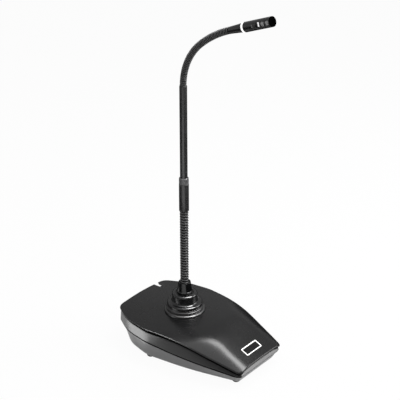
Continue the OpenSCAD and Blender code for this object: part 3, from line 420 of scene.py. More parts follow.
# %% Outline of the base
# each corner: x, y, radius and taper
RIGHT_CORNERS = np.array([
    [36, -107.3, 6, 8],
    [51, -43, 420, 5],
    [56.19, 10, 48, 2.5],
    [51.5, 42, 70, 5],
    [38, 65.6, 12, 9],
])
REAR_CORNER = np.array([[0, 66.5, 220, 9]])
LEFT_CORNERS = RIGHT_CORNERS[::-1] * np.array([-1, 1, 1, 1])
BASE_CORNERS = np.vstack([RIGHT_CORNERS, REAR_CORNER, LEFT_CORNERS])
ARC_STEPS = 24
EDGE_STEPS = 24


def outline(inset, taper_share=0):
    """The base's outline in millimetres, with every corner moved in along its bisector.

    A corner moves by the inset plus a share of its own taper, divided by the sine of its half
    angle, so that both its edges move in by that much. Arcs and edges keep their point counts,
    so outlines with different insets match point for point.
    """
    places = BASE_CORNERS[:, :2]
    _, _, _, half, bisector = corner_sides(places)
    distance = inset + taper_share * BASE_CORNERS[:, 3]
    moved = places + bisector * (distance / np.sin(half))[:, None]
    arcs = rounded(moved, np.maximum(BASE_CORNERS[:, 2] - distance, 1), ARC_STEPS)
    share = np.linspace(0, 1, EDGE_STEPS + 2)[1:-1][None, :, None]
    edges = arcs[:, -1:] * (1 - share) + np.roll(arcs, -1, axis=0)[:, :1] * share
    return np.concatenate([arcs, edges], axis=1).reshape(-1, 2)


rim = outline(0)
print("outline points:", len(rim), "width:", np.ptp(rim[:, 0]), "length:", np.ptp(rim[:, 1]))

# %% [markdown]
# ## The top cover
# The cover's top is crowned from side to side. Forward of its apex it bends down in an arc and
# runs on as a straight slope, and behind the apex it falls very little. Two bevel planes cut the
# front flanks. A hard minimum of the crown and the planes would leave a sharp ridge. A smooth
# minimum blends them over a few millimetres, which gives the soft, bright ridge of a moulding.

# %% Height of the cover's top
TOP_Z = 42.6
APEX_Y = -44.4
FRONT_FALL_R = 87
FRONT_SLOPE = np.radians(22.2)
REAR_FALL_R = 2100
CROWN_R = 450
RIDGE_HALF = 32
BEVEL_SIDE = np.tan(np.radians(30.5))
BEVEL_FRONT = np.tan(np.radians(21.5))
FRONT_Y = -107.3
RIDGE_BLEND = 4.6
BLEND_GROWTH = 0.09
BLEND_START_Y = -80


def crown_top(x, y):
    """A wide arc behind the apex, and in front of it a tight arc that ends in a slope.

    The crown's drop from side to side is taken off the radius of both arcs. The slope starts
    where the tight arc has turned by the slope's angle, so the two meet without a kink.
    """
    drop = CROWN_R - np.sqrt(CROWN_R**2 - x**2)
    ahead = APEX_Y - y
    rear = TOP_Z - REAR_FALL_R + np.sqrt((REAR_FALL_R - drop) ** 2 - ahead**2)
    reach = FRONT_FALL_R - drop
    run = np.clip(ahead, 0, reach * np.sin(FRONT_SLOPE))
    arc = TOP_Z - FRONT_FALL_R + np.sqrt(reach**2 - run**2)
    return np.where(ahead > 0, arc - (ahead - run) * np.tan(FRONT_SLOPE), rear)


def cover_top(x, y):
    """The smooth minimum of the crown and the two bevel planes, wider towards the rear."""
    blend = RIDGE_BLEND + BLEND_GROWTH * np.maximum(y - BLEND_START_Y, 0)
    start = crown_top(np.float64(RIDGE_HALF), np.float64(FRONT_Y))
    bevel = start - BEVEL_SIDE * (np.abs(x) - RIDGE_HALF) + BEVEL_FRONT * (y - FRONT_Y)
    top = crown_top(x, y)
    mix = np.clip(0.5 + 0.5 * (bevel - top) / blend, 0, 1)
    return bevel * (1 - mix) + top * mix - blend * mix * (1 - mix)


def top_at(points):
    """The height of the cover over points of the plane."""
    return cover_top(points[..., 0], points[..., 1])


print("front edge is at", np.round(cover_top(np.array([0.0, 30.0]), FRONT_Y), 2), "mm")

# %% [markdown]
# The cover is a sheet with a rolled rim. Its grid runs from the socket's hole out to the rim,
# round the rolled edge, and back underneath, so rows wrap and the sheet is closed. Each column
# follows a straight line from the hole to one point of the outline.

# %% Grid of the cover
COVER_T = 3.0
TOP_STEPS = 112
UNDER_STEPS = 14
RIM_T = 1.4
RIM_R = 0.8
LIP_R = 0.3
STEP_IN = 1.5
HOLE_R = 20.3
SEAT_R = 23.05
SEAT_Z = 41.2


def lay(points, height):
    """Points in the plane with a height for each, as rows of a grid."""
    return np.concatenate([points, height[..., None]], axis=-1)


def ring_points(radius, toward):
    """Points on a circle round the stem, each in the direction of an outline point."""
    return radius * toward / np.linalg.norm(toward, axis=-1, keepdims=True)


inner_rim = outline(RIM_R)
share = np.linspace(0, 1, TOP_STEPS)[:, None, None]
top_points = ring_points(SEAT_R, inner_rim) * (1 - share) + inner_rim * share
top_rows = lay(top_points, top_at(top_points))
roll = np.radians(np.linspace(0, 90, 9)[1:])
roll_points = np.stack([outline(RIM_R * (1 - np.sin(a))) for a in roll])
roll_rows = lay(roll_points, top_at(roll_points) - (RIM_R * (1 - np.cos(roll)))[:, None])
tuck = np.radians(np.linspace(0, 90, 5))
tuck_points = np.stack([outline(LIP_R * (1 - np.cos(a))) for a in tuck])
tuck_height = top_at(tuck_points) - RIM_T
tuck_rows = lay(tuck_points, tuck_height + (LIP_R * (1 - np.sin(tuck)))[:, None])
step_points = outline(STEP_IN)[None]
step_rows = lay(step_points, top_at(step_points) - COVER_T)
share = np.linspace(0, 1, UNDER_STEPS)[1:, None, None]
under_points = tuck_points[-1] * (1 - share) + ring_points(HOLE_R, inner_rim) * share
under_rows = lay(under_points, top_at(under_points) - COVER_T)
seat_points = np.stack([ring_points(r, inner_rim) for r in (HOLE_R, SEAT_R - 0.1)])
seat_rows = lay(seat_points, np.full(seat_points.shape[:2], SEAT_Z))
cover_rows = [seat_rows, top_rows, roll_rows, tuck_rows, step_rows, under_rows]
cover_grid = np.concatenate(cover_rows)[::-1]
print("cover grid:", cover_grid.shape)

# %% [markdown]
# The key's light frame passes through the cover at the front, and a notch opens the rear edge.
# The key has axes of its own, tilted with the slope.

# %% Make the cover and cut its openings
KEY_Y = -93.6
KEY_Z = float(crown_top(np.float64(0), np.float64(KEY_Y)))
FRAME_SIZE = np.array([25.1, 10.1])
FRAME_R = 1.2
SOFT_STEPS = 8
NOTCH_X = (21.3, 28.7)
NOTCH_Y = 56.44
REAR_LIMIT = 90
CUT_LOW = 20
CUT_TOP = 60
KEY_CUT = 12


def to_frame(points):
    """Millimetres from the stem's axis become metres in the frame, for x, y or for x, y, z."""
    return points * MM + np.array([stem_x, stem_y, 0])[: points.shape[-1]]


def soft_box(size, radius):
    """A rounded rectangle round the origin, counter-clockwise."""
    half = np.asarray(size) / 2
    corners = box_outline(-half[0], half[0], -half[1], half[1])
    return rounded(corners, radius, SOFT_STEPS).reshape(-1, 2)


key_place = Matrix.Translation((stem_x, stem_y + KEY_Y * MM, KEY_Z * MM))
key_place = key_place @ Matrix.Rotation(FRONT_SLOPE, 4, "X")
cover = surface("cover_skin", to_frame(cover_grid), wrap_rows=True)
key_hole = soft_box(FRAME_SIZE, FRAME_R) * MM
carve(cover, prism("key_cut", key_hole, -KEY_CUT * MM, KEY_CUT * MM, key_place))
notch = to_frame(box_outline(*NOTCH_X, NOTCH_Y, REAR_LIMIT))
carve(cover, prism("notch_cut", notch, CUT_LOW * MM, CUT_TOP * MM))
settle(cover, "cover_black", "base", "top_cover")

# %% [markdown]
# ## The side band and the lower shell
# Under the cover the base has two kinds of side. Straight lines run up from each point of a lower
# outline to the matching point of an upper one: the band's lines lean in a little towards the
# cover, and the lower shell's lines lean out from the tapered bottom to the seam. Small rounded
# edges beside the seam and under the cover catch the light next to the dark gaps.

# %% Lines up the sides
FOOT_H = 3.5
FLOOR_T = 2.5
BAND_STEP = 2.7
BAND_FLARE = 1.2
SEAM_STEP = 1.5
SEAM_OVER = 1.0
WALL = 2.2
RIM_GAP_AT = np.array([[-106, 1.0], [-96, 2.0], [0, 2.0], [40, 0.8]])
SEAM_LOW_AT = np.array([[-106, 1.0], [-98, 2.0]])
SEAM_HIGH = 0.4
SEAM_REAR_Z = 21.9
SEAM_SLOPE = 7.7 / 117.3
SEAM_BEND_Y = 10
LOFT_FRONT_Z = 22.5
LOFT_SLOPE = 0.21


def between(low, high, high_z, height):
    """Where straight lines from the low outline to the high one pass a height for each column."""
    share = ((height - FOOT_H) / (high_z - FOOT_H))[:, None]
    return lay(low + (high - low) * share, np.broadcast_to(height, share.shape[:1]))


def seam_height(y):
    """The seam is level at the rear and falls evenly to the front from the widest place."""
    return SEAM_REAR_Z - SEAM_SLOPE * np.maximum(SEAM_BEND_Y - y, 0)


def band_line(inset, height):
    """The band's side, moved in by the inset: set in towards the cover, flared to the bottom."""
    high = outline(BAND_STEP + inset)
    high_z = LOFT_FRONT_Z + LOFT_SLOPE * (high[:, 1] - FRONT_Y)
    return between(outline(inset - BAND_FLARE), high, high_z, height)


def shell_line(inset, height):
    """The lower shell's side, moved in by the inset: from the tapered bottom to the seam."""
    high = outline(SEAM_STEP + inset)
    return between(outline(inset, 1), high, seam_height(high[:, 1]) + SEAM_OVER, height)


seam = seam_height(rim[:, 1])
shell_top = seam - np.interp(rim[:, 1], *SEAM_LOW_AT.T)
rim_gap = np.interp(rim[:, 1], *RIM_GAP_AT.T)
band_top = top_at(rim) - COVER_T - rim_gap
print("band height:", np.round((band_top - seam).min(), 2), np.round((band_top - seam).max(), 2))

# %% Make the band
EDGE_R = 0.45
INNER_FALL = 2.0
WALL_STEPS = 10
BAY_X = (-11.9, 38.5)
BAY_Y = 50.1
BAY_Z = 6.1


def wall_rows(line, low, high, edge_low):
    """Rows up the outer face, with rounded edges below and above."""
    angles = np.radians(np.linspace(0, 90, 5))
    lower = [line(edge_low * (1 - np.sin(a)), low + edge_low * (1 - np.cos(a))) for a in angles]
    shares = np.linspace(0, 1, WALL_STEPS)[1:-1]
    face = [line(0, low + edge_low + (high - EDGE_R - low - edge_low) * s) for s in shares]
    upper = [line(EDGE_R * (1 - np.cos(a)), high - EDGE_R * (1 - np.sin(a))) for a in angles]
    return lower + face + upper


def cut_bay(piece):
    """The opening of the connector bay at the rear is taken away from a piece."""
    bay = to_frame(box_outline(*BAY_X, BAY_Y, REAR_LIMIT))
    carve(piece, prism(piece.name + "_bay", bay, BAY_Z * MM, CUT_TOP * MM))


band_low = seam + SEAM_HIGH
band_rows = wall_rows(band_line, band_low, band_top, EDGE_R)
band_rows += [band_line(WALL, band_top - INNER_FALL), band_line(WALL, band_low)]
band = surface("band_skin", to_frame(np.stack(band_rows)), wrap_rows=True)
cut_bay(band)
settle(band, "band_grey", "base", "side_band")

# %% [markdown]
# Through an open gap the white ground behind the part would shine. A thin lip inside the band
# stands behind each gap, dull black without reflection: painted shade, so that the gaps stay dark
# lines.

# %% Lips behind the gaps
LIP_IN = 1.2
LIP_T = 0.8
LIP_ROOT = 0.5
CLEAR = 0.05
SEAM_CLEAR = 0.2
SEAM_LAP = 1.0


def shade_lip(name, low, high):
    """A thin upright ring inside the band's side, from one height to another."""
    corners = ((0, low), (0, high), (LIP_T, high), (LIP_T, low))
    rows = [band_line(LIP_IN + depth, height) for depth, height in corners]
    lip = surface(name, to_frame(np.stack(rows)), wrap_rows=True)
    cut_bay(lip)
    # Painted shade: the lip takes the dull black of core_black, so the gap in front of it reads as
    # a dark line.
    settle(lip, "core_black", "base", "side_band")


lip_line = band_line(LIP_IN, band_top)
shade_lip("rim_shade_lip", band_top - INNER_FALL - LIP_ROOT, top_at(lip_line) - COVER_T - CLEAR)
shade_lip("seam_shade_lip", shell_top + SEAM_CLEAR, band_low + SEAM_LAP)

# %% [markdown]
# The shell is a tray. Its rows run from the middle of the underside out and up the side, down the
# inside and back over the floor, and one face closes each middle.

# %% Make the lower shell
BOTTOM_R = 1.4
SHELL_MIDDLE = np.array([0, -15, 0])
SHELL_SHARES = (0.04, 0.3, 0.6, 0.9)
SCREW_PLACES = np.array([[-25, -72], [25, -72], [-41, 26], [41, 26]])
SCREW_HOLE_R = 3.05
SCREW_CUT = 7


def toward_middle(row, shares):
    """A row drawn in towards the middle of the base, once for each share."""
    middle = SHELL_MIDDLE + np.array([0, 0, row[0, 2]])
    return [middle + (row - middle) * s for s in shares]


bottom = np.full(len(rim), FOOT_H)
outer_rows = wall_rows(shell_line, bottom, shell_top, BOTTOM_R)
floor_row = shell_line(WALL, bottom + FLOOR_T)
inner_rows = [shell_line(WALL, shell_top - INNER_FALL), floor_row]
under = toward_middle(outer_rows[0], SHELL_SHARES)
floor = toward_middle(floor_row, SHELL_SHARES[::-1])
shell_grid = np.stack(under + outer_rows + inner_rows + floor)
shell = surface("shell_skin", to_frame(shell_grid), caps=True)
cut_bay(shell)
circle = np.radians(np.arange(0, 360, 10))
hole = np.stack([np.cos(circle), np.sin(circle)], axis=1) * SCREW_HOLE_R
for place in SCREW_PLACES:
    carve(shell, prism("screw_cut", to_frame(hole + place), 0, SCREW_CUT * MM))
settle(shell, "shell_grey", "base", "lower_shell")

# %% [markdown]
# ## The talk key
# The key is a small rounded slab, a little dished for the finger, with a flange under the cover
# that stops it from falling out. It moves on its own body. The white light frame round it stays
# as the solid of the frame.

# %% Make the key
KEY_SIZE = np.array([22.4, 7.4])
KEY_PROUD = 0.2
KEY_EDGE_R = 0.35
KEY_FLANGE = 0.9
KEY_FLANGE_TOP = -3.3
KEY_BOTTOM = -4.4
KEY_CORNER_R = 0.6
KEY_DISH = 0.12
DISH_INSETS = (0.8, 1.4, 2.2, 3.0)


def key_ring(inset, height):
    """The key's outline moved in by the inset, at one height."""
    ring = soft_box(KEY_SIZE - 2 * inset, max(KEY_CORNER_R - inset, 0.1))
    return lay(ring, np.full(len(ring), height))


roll = np.radians(np.linspace(0, 90, 6))
key_rows = [key_ring(-KEY_FLANGE, KEY_BOTTOM), key_ring(-KEY_FLANGE, KEY_FLANGE_TOP)]
key_rows += [key_ring(0, KEY_FLANGE_TOP)] + [
    key_ring(KEY_EDGE_R * (1 - np.cos(a)), KEY_PROUD - KEY_EDGE_R * (1 - np.sin(a))) for a in roll
]
key_rows += [
    key_ring(d, KEY_PROUD - KEY_DISH * np.sin(d / DISH_INSETS[-1] * np.pi / 2)) for d in DISH_INSETS
]
key = surface("key_pad", np.stack(key_rows) * MM, caps=True)
key.data.transform(key_place)
settle(key, "key_black", "talk_key", "key_cap")

# %% [markdown]
# ## Turned pieces
# The shock mount, collar, plug, sleeves, stem and head are all turned: a closed profile carried
# once round an axis. The profile lists a few corners as radius and height, each with a rounding.
# Heights come from the solids, so the pieces meet exactly where the solids meet.

# %% A lathe
ON_STEM = Matrix.Translation((stem_x, stem_y, 0))
LATHE_SIDES = 120
LATHE_STEPS = 7
LEAST_R = 0.01


def lathe(name, corners, place=ON_STEM):
    """A closed profile of (radius, height, rounding) corners, turned once round the Z axis."""
    corners = np.asarray(corners, float)
    radii = np.maximum(corners[:, 2], LEAST_R)
    profile = rounded(corners[:, :2], radii, LATHE_STEPS).reshape(-1, 2)
    ahead = np.roll(profile, -1, axis=0)
    if (profile[:, 0] * ahead[:, 1] - ahead[:, 0] * profile[:, 1]).sum() < 0:
        profile = profile[::-1]
    turn = np.radians(np.linspace(0, 360, LATHE_SIDES, endpoint=False))
    grid = np.empty((len(profile), LATHE_SIDES, 3))
    grid[..., 0] = profile[:, :1] * np.cos(turn)
    grid[..., 1] = profile[:, :1] * np.sin(turn)
    grid[..., 2] = profile[:, 1:]
    piece = surface(name, grid * MM, wrap_rows=True)
    piece.data.transform(place)
    return piece


def measure(node):
    """Lowest and highest point of a solid and half its width, in millimetres."""
    low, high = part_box(node)
    return low.z / MM, high.z / MM, (high.x - low.x) / 2 / MM


print("the stem's lower end, upper end and radius:", measure("stem_tube"))

# %% [markdown]
# The mount has a lip on the cover and a bellows above it. The collar is a flange and a barrel with
# wide rounded edges, which catch the long highlights.

# %% Shock mount and collar
mount_low, mount_high, mount_r = measure("shock_mount")
collar_low, collar_high, collar_r = measure("socket_collar")
NECK_R = 15.05
BELLOWS_R = 20.5
BARREL_R = 14.1
SOCKET_R = 9.75
SOCKET_DEPTH = 25
COLLAR_BORE_R = 7.8
BELLOWS_DEPTH = 0.8
HOLE_CLEAR = 0.3
lip_top = SEAT_Z + 3.4
flange_low = mount_high + CLEAR
flange_high = flange_low + 3.6
mount_profile = [
    (NECK_R, mount_low, 0.3),
    (mount_r, mount_low, 0.6),
    (mount_r, mount_low + 2, 0.6),
    (HOLE_R - HOLE_CLEAR, mount_low + 2, 0.3),
    (HOLE_R - HOLE_CLEAR, SEAT_Z, 0.2),
    (mount_r, SEAT_Z, 0.4),
    (mount_r, lip_top - 0.6, 1.2),
    (mount_r - 1.3, lip_top, 0.8),
    (BELLOWS_R - BELLOWS_DEPTH, lip_top, 0.5),
    (BELLOWS_R - BELLOWS_DEPTH, lip_top + 0.9, 0.4),
    (BELLOWS_R, lip_top + 1.6, 0.6),
    (BELLOWS_R, lip_top + 2.5, 0.6),
    (BELLOWS_R - BELLOWS_DEPTH, lip_top + 3.2, 0.4),
    (BELLOWS_R - BELLOWS_DEPTH, mount_high, 0.3),
    (NECK_R, mount_high, 0.3),
]
mount = lathe("mount_boot", mount_profile)
settle(mount, "mount_rubber", "base", "shock_mount")
collar_profile = [
    (SOCKET_R, collar_high - SOCKET_DEPTH, 0.1),
    (SOCKET_R, collar_high, 0.5),
    (BARREL_R, collar_high, 2.6),
    (BARREL_R, flange_high, 2.0),
    (collar_r, flange_high, 2.4),
    (collar_r, flange_low, 0.5),
    (NECK_R - CLEAR, flange_low, 0.2),
    (NECK_R - CLEAR, collar_low, 0.5),
    (COLLAR_BORE_R, collar_low, 0.3),
    (COLLAR_BORE_R, collar_high - SOCKET_DEPTH, 0.1),
]
collar = lathe("collar_turned", collar_profile)
settle(collar, "collar_black", "base", "socket_collar")

# %% [markdown]
# The plug tapers from a bead on the collar to a mouth that holds the lower spring.

# %% Plug
plug_low, plug_high, sleeve_r = measure("plug_shell")
bead_high = collar_high + 2.3
BEAD_R = 8.7
BEAD_SINK = 0.6
WIRE_SEAT = 8.8
MOUTH_H = 2.6
LOW_HOLD_R = 4.95
PLUG_BORE_R = 8.1
PLUG_TOP_R = 6.7
MOUTH_R = 6.0
CORE_HOLE_R = 2.1
plug_profile = [
    (PLUG_BORE_R, plug_low, 0.2),
    (sleeve_r, plug_low, 0.4),
    (sleeve_r, collar_high - BEAD_SINK, 0.2),
    (BEAD_R, collar_high - BEAD_SINK, 0.1),
    (BEAD_R, bead_high - 0.1, 0.5),
    (8.15, bead_high + 0.3, 0.3),
    (PLUG_TOP_R, plug_high, 0.3),
    (MOUTH_R, plug_high, 0.3),
    (LOW_HOLD_R, plug_high - MOUTH_H, 0.3),
    (LOW_HOLD_R, plug_high - WIRE_SEAT, 0.1),
    (CORE_HOLE_R, plug_high - WIRE_SEAT, 0.1),
    (CORE_HOLE_R, plug_high - WIRE_SEAT - 1, 0.1),
    (PLUG_BORE_R, plug_high - WIRE_SEAT - 3, 0.3),
]
plug = lathe("plug_turned", plug_profile)
settle(plug, "plug_black", "plug", "plug_shell")

# %% [markdown]
# Above the lower spring come a sleeve, a lighter ring and the long tube of the stem. The sleeve
# and the tube each have a seat for the end of a spring.

# %% Joint sleeve, stem ring and stem tube
TUBE_BORE_R = 3.2
HIGH_HOLD_R = 3.6
HIGH_SEAT = 5.3
RING_CHAMFER = 0.8
joint_low, joint_high, joint_r = measure("joint_sleeve")
ring_low, ring_high, ring_r = measure("stem_collar")
tube_low, tube_high, tube_r = measure("stem_tube")
sleeve_bore = tube_r + CLEAR
joint_profile = [
    (LOW_HOLD_R, joint_low, 0.15),
    (joint_r, joint_low, 0.6),
    (joint_r, joint_high, 0.5),
    (sleeve_bore, joint_high, 0.2),
    (sleeve_bore, tube_low, 0.1),
    (CORE_HOLE_R, tube_low, 0.1),
    (CORE_HOLE_R, joint_low + WIRE_SEAT, 0.1),
    (LOW_HOLD_R, joint_low + WIRE_SEAT, 0.1),
]
joint = lathe("joint_turned", joint_profile)
settle(joint, "stem_grey", "stem", "joint_sleeve")
ring_profile = [
    (sleeve_bore, ring_low, 0.1),
    (ring_r, ring_low, 0.4),
    (ring_r, ring_high - RING_CHAMFER, 0.5),
    (ring_r - RING_CHAMFER, ring_high, 0.4),
    (sleeve_bore, ring_high, 0.1),
]
ring = lathe("stem_ring", ring_profile)
settle(ring, "ring_grey", "stem", "stem_collar")
tube_profile = [
    (TUBE_BORE_R, tube_low, 0.1),
    (tube_r, tube_low, 0.2),
    (tube_r, tube_high, 0.35),
    (HIGH_HOLD_R, tube_high, 0.1),
    (HIGH_HOLD_R, tube_high - HIGH_SEAT, 0.1),
    (TUBE_BORE_R, tube_high - HIGH_SEAT, 0.1),
]
tube = lathe("stem_drawn", tube_profile)
settle(tube, "stem_grey", "stem", "stem_tube")

# %% [markdown]
# ## The goosenecks
# A gooseneck is a spring wound close, with a thinner wire pressed between its curls, over a
# core. The wire's middle line is a helix about the neck's own line, which is straight below and
# bends over in two arcs above. We carry a circle along the helix. Each neck bends at two joints,
# so it is made in two halves, split at its middle.

# %% The neck's own line
BEND_R1 = 62.0
BEND_TURN1 = np.radians(50)
BEND_R2 = 120.0
BEND_TURN2 = np.radians(20.5)
ARC_1 = BEND_R1 * BEND_TURN1
HIGH_LEN = ARC_1 + BEND_R2 * BEND_TURN2
HEAD_TURN = BEND_TURN1 + BEND_TURN2


def neck_line(s):
    """Places along the neck and the direction square to it in the plane of its bend.

    Below zero the line is straight up the stem. From there it turns by s / R along each arc,
    and after the second arc it runs on straight.
    """
    first = np.clip(s, 0, ARC_1) / BEND_R1
    second = np.clip(s - ARC_1, 0, HIGH_LEN - ARC_1) / BEND_R2
    turn = first + second
    below = np.minimum(s, 0)
    beyond = np.maximum(s - HIGH_LEN, 0)
    reach = BEND_R1 * (1 - np.cos(first)) + BEND_R2 * (np.cos(first) - np.cos(turn))
    rise = BEND_R1 * np.sin(first) + BEND_R2 * (np.sin(turn) - np.sin(first))
    reach += beyond * np.sin(HEAD_TURN)
    rise += beyond * np.cos(HEAD_TURN) + below
    zero = np.zeros_like(reach)
    place = np.stack([zero, -reach, tube_high + rise], axis=-1)
    side = np.stack([zero, np.cos(turn), np.sin(turn)], axis=-1)
    return place, side


head_base, _ = neck_line(np.array([HIGH_LEN]))
print("upper neck:", round(HIGH_LEN, 2), "mm long, head starts at", np.round(head_base[0], 2))


# %% Carry a circle along a helix
def tube_along(name, path, outward, radius, around):
    """A circle carried along a path: out and across are square to the path at each point."""
    along = np.gradient(path, axis=0)
    along /= np.linalg.norm(along, axis=1)[:, None]
    across = np.cross(along, outward)
    across /= np.linalg.norm(across, axis=1)[:, None]
    out = np.cross(across, along)
    turn = np.radians(np.linspace(0, 360, around, endpoint=False))[None, :, None]
    ring = out[:, None] * np.cos(turn) + across[:, None] * np.sin(turn)
    return surface(name, to_frame(path[:, None] + radius * ring), caps=True, sharp=60)


def helix(distance, turns, radius, line):
    """Points at a radius from the neck's line, turning left-handed, with their directions out."""
    place, side = line(distance)
    angle = -2 * np.pi * turns[:, None]
    outward = np.cos(angle) * np.array([1.0, 0, 0]) + np.sin(angle) * side
    return place + radius * outward, outward


def straight_line(s):
    """The lower neck runs straight up the stem's axis."""
    zero = np.zeros_like(s)
    side = np.stack([zero, zero + 1, zero], axis=-1)
    return np.stack([zero, zero, s], axis=-1), side


print("wire helpers ready")

# %% Wind the lower neck
CURL_STEPS = 28
WIRE_SIDES = 14
FILL_SIDES = 8
CORE_SIDES = 24
CORE_STEPS = 60


def wind(prefix, line, ends, pitch, sizes, nodes):
    """Wire, filler and core of one half neck.

    Sizes are the wire's radius, its helix's radius, the filler's radius and the core's radius.
    The filler follows half a curl after the wire, in the gap between its curls.
    """
    wire_r, coil_r, fill_r, core_r = sizes
    s = np.linspace(*ends, int((ends[1] - ends[0]) / pitch * CURL_STEPS))
    turns = s / pitch
    wire = tube_along(prefix + "_wire", *helix(s, turns, coil_r, line), wire_r, WIRE_SIDES)
    fill_line = helix(s, turns + 0.5, coil_r, line)
    filler = tube_along(prefix + "_filler", *fill_line, fill_r, FILL_SIDES)
    core_line = line(np.linspace(*ends, CORE_STEPS))
    core = tube_along(prefix + "_core", *core_line, core_r, CORE_SIDES)
    low, high = [to_frame(line(np.array([e]))[0][0]) for e in ends]
    # The filler and core are black like the real ones; their dull black without reflection is
    # painted shade in the gaps between the curls.
    for piece, slot, node in (
        (wire, "spring_black", nodes[0]),
        (filler, "core_black", nodes[0]),
        (core, "core_black", nodes[1]),
    ):
        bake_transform(piece)
        settle(piece, slot, None, node)


def wind_neck(prefix, line, stops, pitch, sizes, bodies, nodes):
    """Both halves of a neck: from its lower stop to its middle, and on to its upper stop."""
    for start, half in enumerate(("_a", "_b")):
        ends, ridden = stops[start : start + 2], bodies[start : start + 2]
        wind(prefix + half, line, ends, pitch, sizes, nodes)


LOW_GRIP = 5.0
LOW_PITCH = 3.15
LOW_SIZES = (0.95, 3.8, 0.25, 1.7)
low_middle = (plug_high + joint_low) / 2
low_stops = (plug_high - LOW_GRIP, low_middle, joint_low + LOW_GRIP)
low_bodies = ("plug", "lower_flex", "stem")
low_nodes = ("lower_spring", "lower_core")
wind_neck("low", straight_line, low_stops, LOW_PITCH, LOW_SIZES, low_bodies, low_nodes)

# %% Wind the upper neck
HIGH_GRIP = 4.0
HIGH_PITCH = 2.0
HIGH_SIZES = (0.56, 3.04, 0.2, 1.7)
HEAD_CLEAR = 0.1
high_stops = (-HIGH_GRIP, HIGH_LEN / 2, HIGH_LEN - HEAD_CLEAR)
high_bodies = ("stem", "upper_flex", "head")
high_nodes = ("upper_spring", "upper_core")
wind_neck("high", neck_line, high_stops, HIGH_PITCH, HIGH_SIZES, high_bodies, high_nodes)

# %% [markdown]
# ## The head
# The head is a slim tube in line with the end of the upper neck: a cone, a white light ring, and
# a housing with a row of slots on each side, through which a lighter inner sleeve shows. We turn
# the pieces upright, and then place them with one matrix.

# %% Make the head
head_place = Matrix.Translation(to_frame(head_base[0])) @ Matrix.Rotation(HEAD_TURN, 4, "X")
CONE_L = 17.0
RING_END = 19.4
HOUSE_END = 51.4
HEAD_R = 5.0
LIGHT_R = 4.8
LAMP_R = 3.35
LAMP_SEAT = 1.5
CONE_R = (3.5, 4.5)
PASS_R = 0.8
HOUSE_WALL = 0.6
cone_profile = [
    (PASS_R, 0, 0.1),
    (CONE_R[0], 0, 0.3),
    (CONE_R[1], CONE_L, 0.15),
    (LAMP_R, CONE_L, 0.05),
    (LAMP_R, CONE_L - LAMP_SEAT, 0.05),
    (PASS_R, CONE_L - LAMP_SEAT, 0.05),
]
cone = lathe("cone_turned", cone_profile, head_place)
settle(cone, "head_black", "head", "head_cone")
glow_profile = [
    (LAMP_R, CONE_L + CLEAR, 0.05),
    (LIGHT_R, CONE_L + CLEAR, 0.2),
    (LIGHT_R, RING_END - CLEAR, 0.2),
    (LAMP_R, RING_END - CLEAR, 0.05),
]
glow = lathe("glow_ring", glow_profile, head_place)
settle(glow, "lamp_white", "head", "light_ring")
house_profile = [
    (HEAD_R - HOUSE_WALL, RING_END, 0.1),
    (HEAD_R, RING_END, 0.5),
    (HEAD_R, HOUSE_END, 0.1),
    (HEAD_R - HOUSE_WALL, HOUSE_END, 0.1),
]
house = lathe("head_house", house_profile, head_place)
SLOT_START = 10.9
SLOT_L = 4.0
SLOT_W = 4.9
SLOT_RIB = 1.4
SLOT_R = 0.8
SLOT_COUNT = 4
SLOT_CUT = 20
across_head = head_place @ Matrix.Rotation(np.pi / 2, 4, "Y")
for index in range(SLOT_COUNT):
    slot_middle = RING_END + SLOT_START + index * (SLOT_L + SLOT_RIB) + SLOT_L / 2
    slot = (soft_box((SLOT_L, SLOT_W), SLOT_R) - np.array([slot_middle, 0])) * MM
    carve(house, prism("slot_cut", slot, -SLOT_CUT * MM, SLOT_CUT * MM, across_head), sharp=30)
settle(house, "head_black", "head", "capsule_housing")

# %% [markdown]
# ## Floor and light
# The photo shows the part on plain white. The world and the floor are white to the camera,
# while the light that falls on the part stays at a plain level. In reflections the floor is
# white, and the world is light grey at the horizon and darker higher up, like a ceiling.
# The floor keeps a share of its own shading, so a soft shadow holds the part to the ground.

# %% World
WORLD_LIGHT = 0.35
BACKDROP = 0.7
CEILING = 0.4
FADE_Z = (0.2, 0.35)


def light_path(tree, *names):
    """1 for rays of any of the named kinds, and 0 for all others."""
    path = tree.nodes.new("ShaderNodeLightPath")
    value = path.outputs[names[0]]
    for name in names[1:]:
        larger = tree.nodes.new("ShaderNodeMath")
        larger.operation = "MAXIMUM"
        tree.links.new(value, larger.inputs[0])
        tree.links.new(path.outputs[name], larger.inputs[1])
        value = larger.outputs[0]
    return value


def choose(tree, which, low, high):
    """The low value where which is 0, and the high value where it is 1."""
    pick = tree.nodes.new("ShaderNodeMix")
    tree.links.new(which, pick.inputs["Factor"])
    for name, value in (("A", low), ("B", high)):
        if isinstance(value, float):
            pick.inputs[name].default_value = value
        else:
            tree.links.new(value, pick.inputs[name])
    return pick.outputs["Result"]


world = bpy.data.worlds.new("studio")
bpy.context.scene.world = world
world.use_nodes = True
sky = world.node_tree
backdrop = sky.nodes["Background"]
backdrop.inputs["Color"].default_value = (1, 1, 1, 1)
direction = sky.nodes.new("ShaderNodeTexCoord")
parts = add_node(sky, "ShaderNodeSeparateXYZ", {}, direction.outputs["Generated"], "Vector")
fade = map_range(sky, parts.outputs["Z"], FADE_Z, BACKDROP, CEILING)
mirrored = light_path(sky, "Is Glossy Ray", "Is Transmission Ray")
strength = choose(sky, mirrored, WORLD_LIGHT, fade)
strength = choose(sky, light_path(sky, "Is Camera Ray"), strength, 1.0)
sky.links.new(strength, backdrop.inputs["Strength"])
print("world light:", WORLD_LIGHT)

# %% [markdown]
# Gloss black needs something dark to mirror, or it turns grey. Photographers stand black flags
# beside such a part. Ours lie on the floor round the part. They leave a white patch close to the
# base, which its sides mirror, and a white window towards the camera, which draws the stripe on
# the stem. One more stands behind. Only reflections see them: the camera and the light pass
# through.

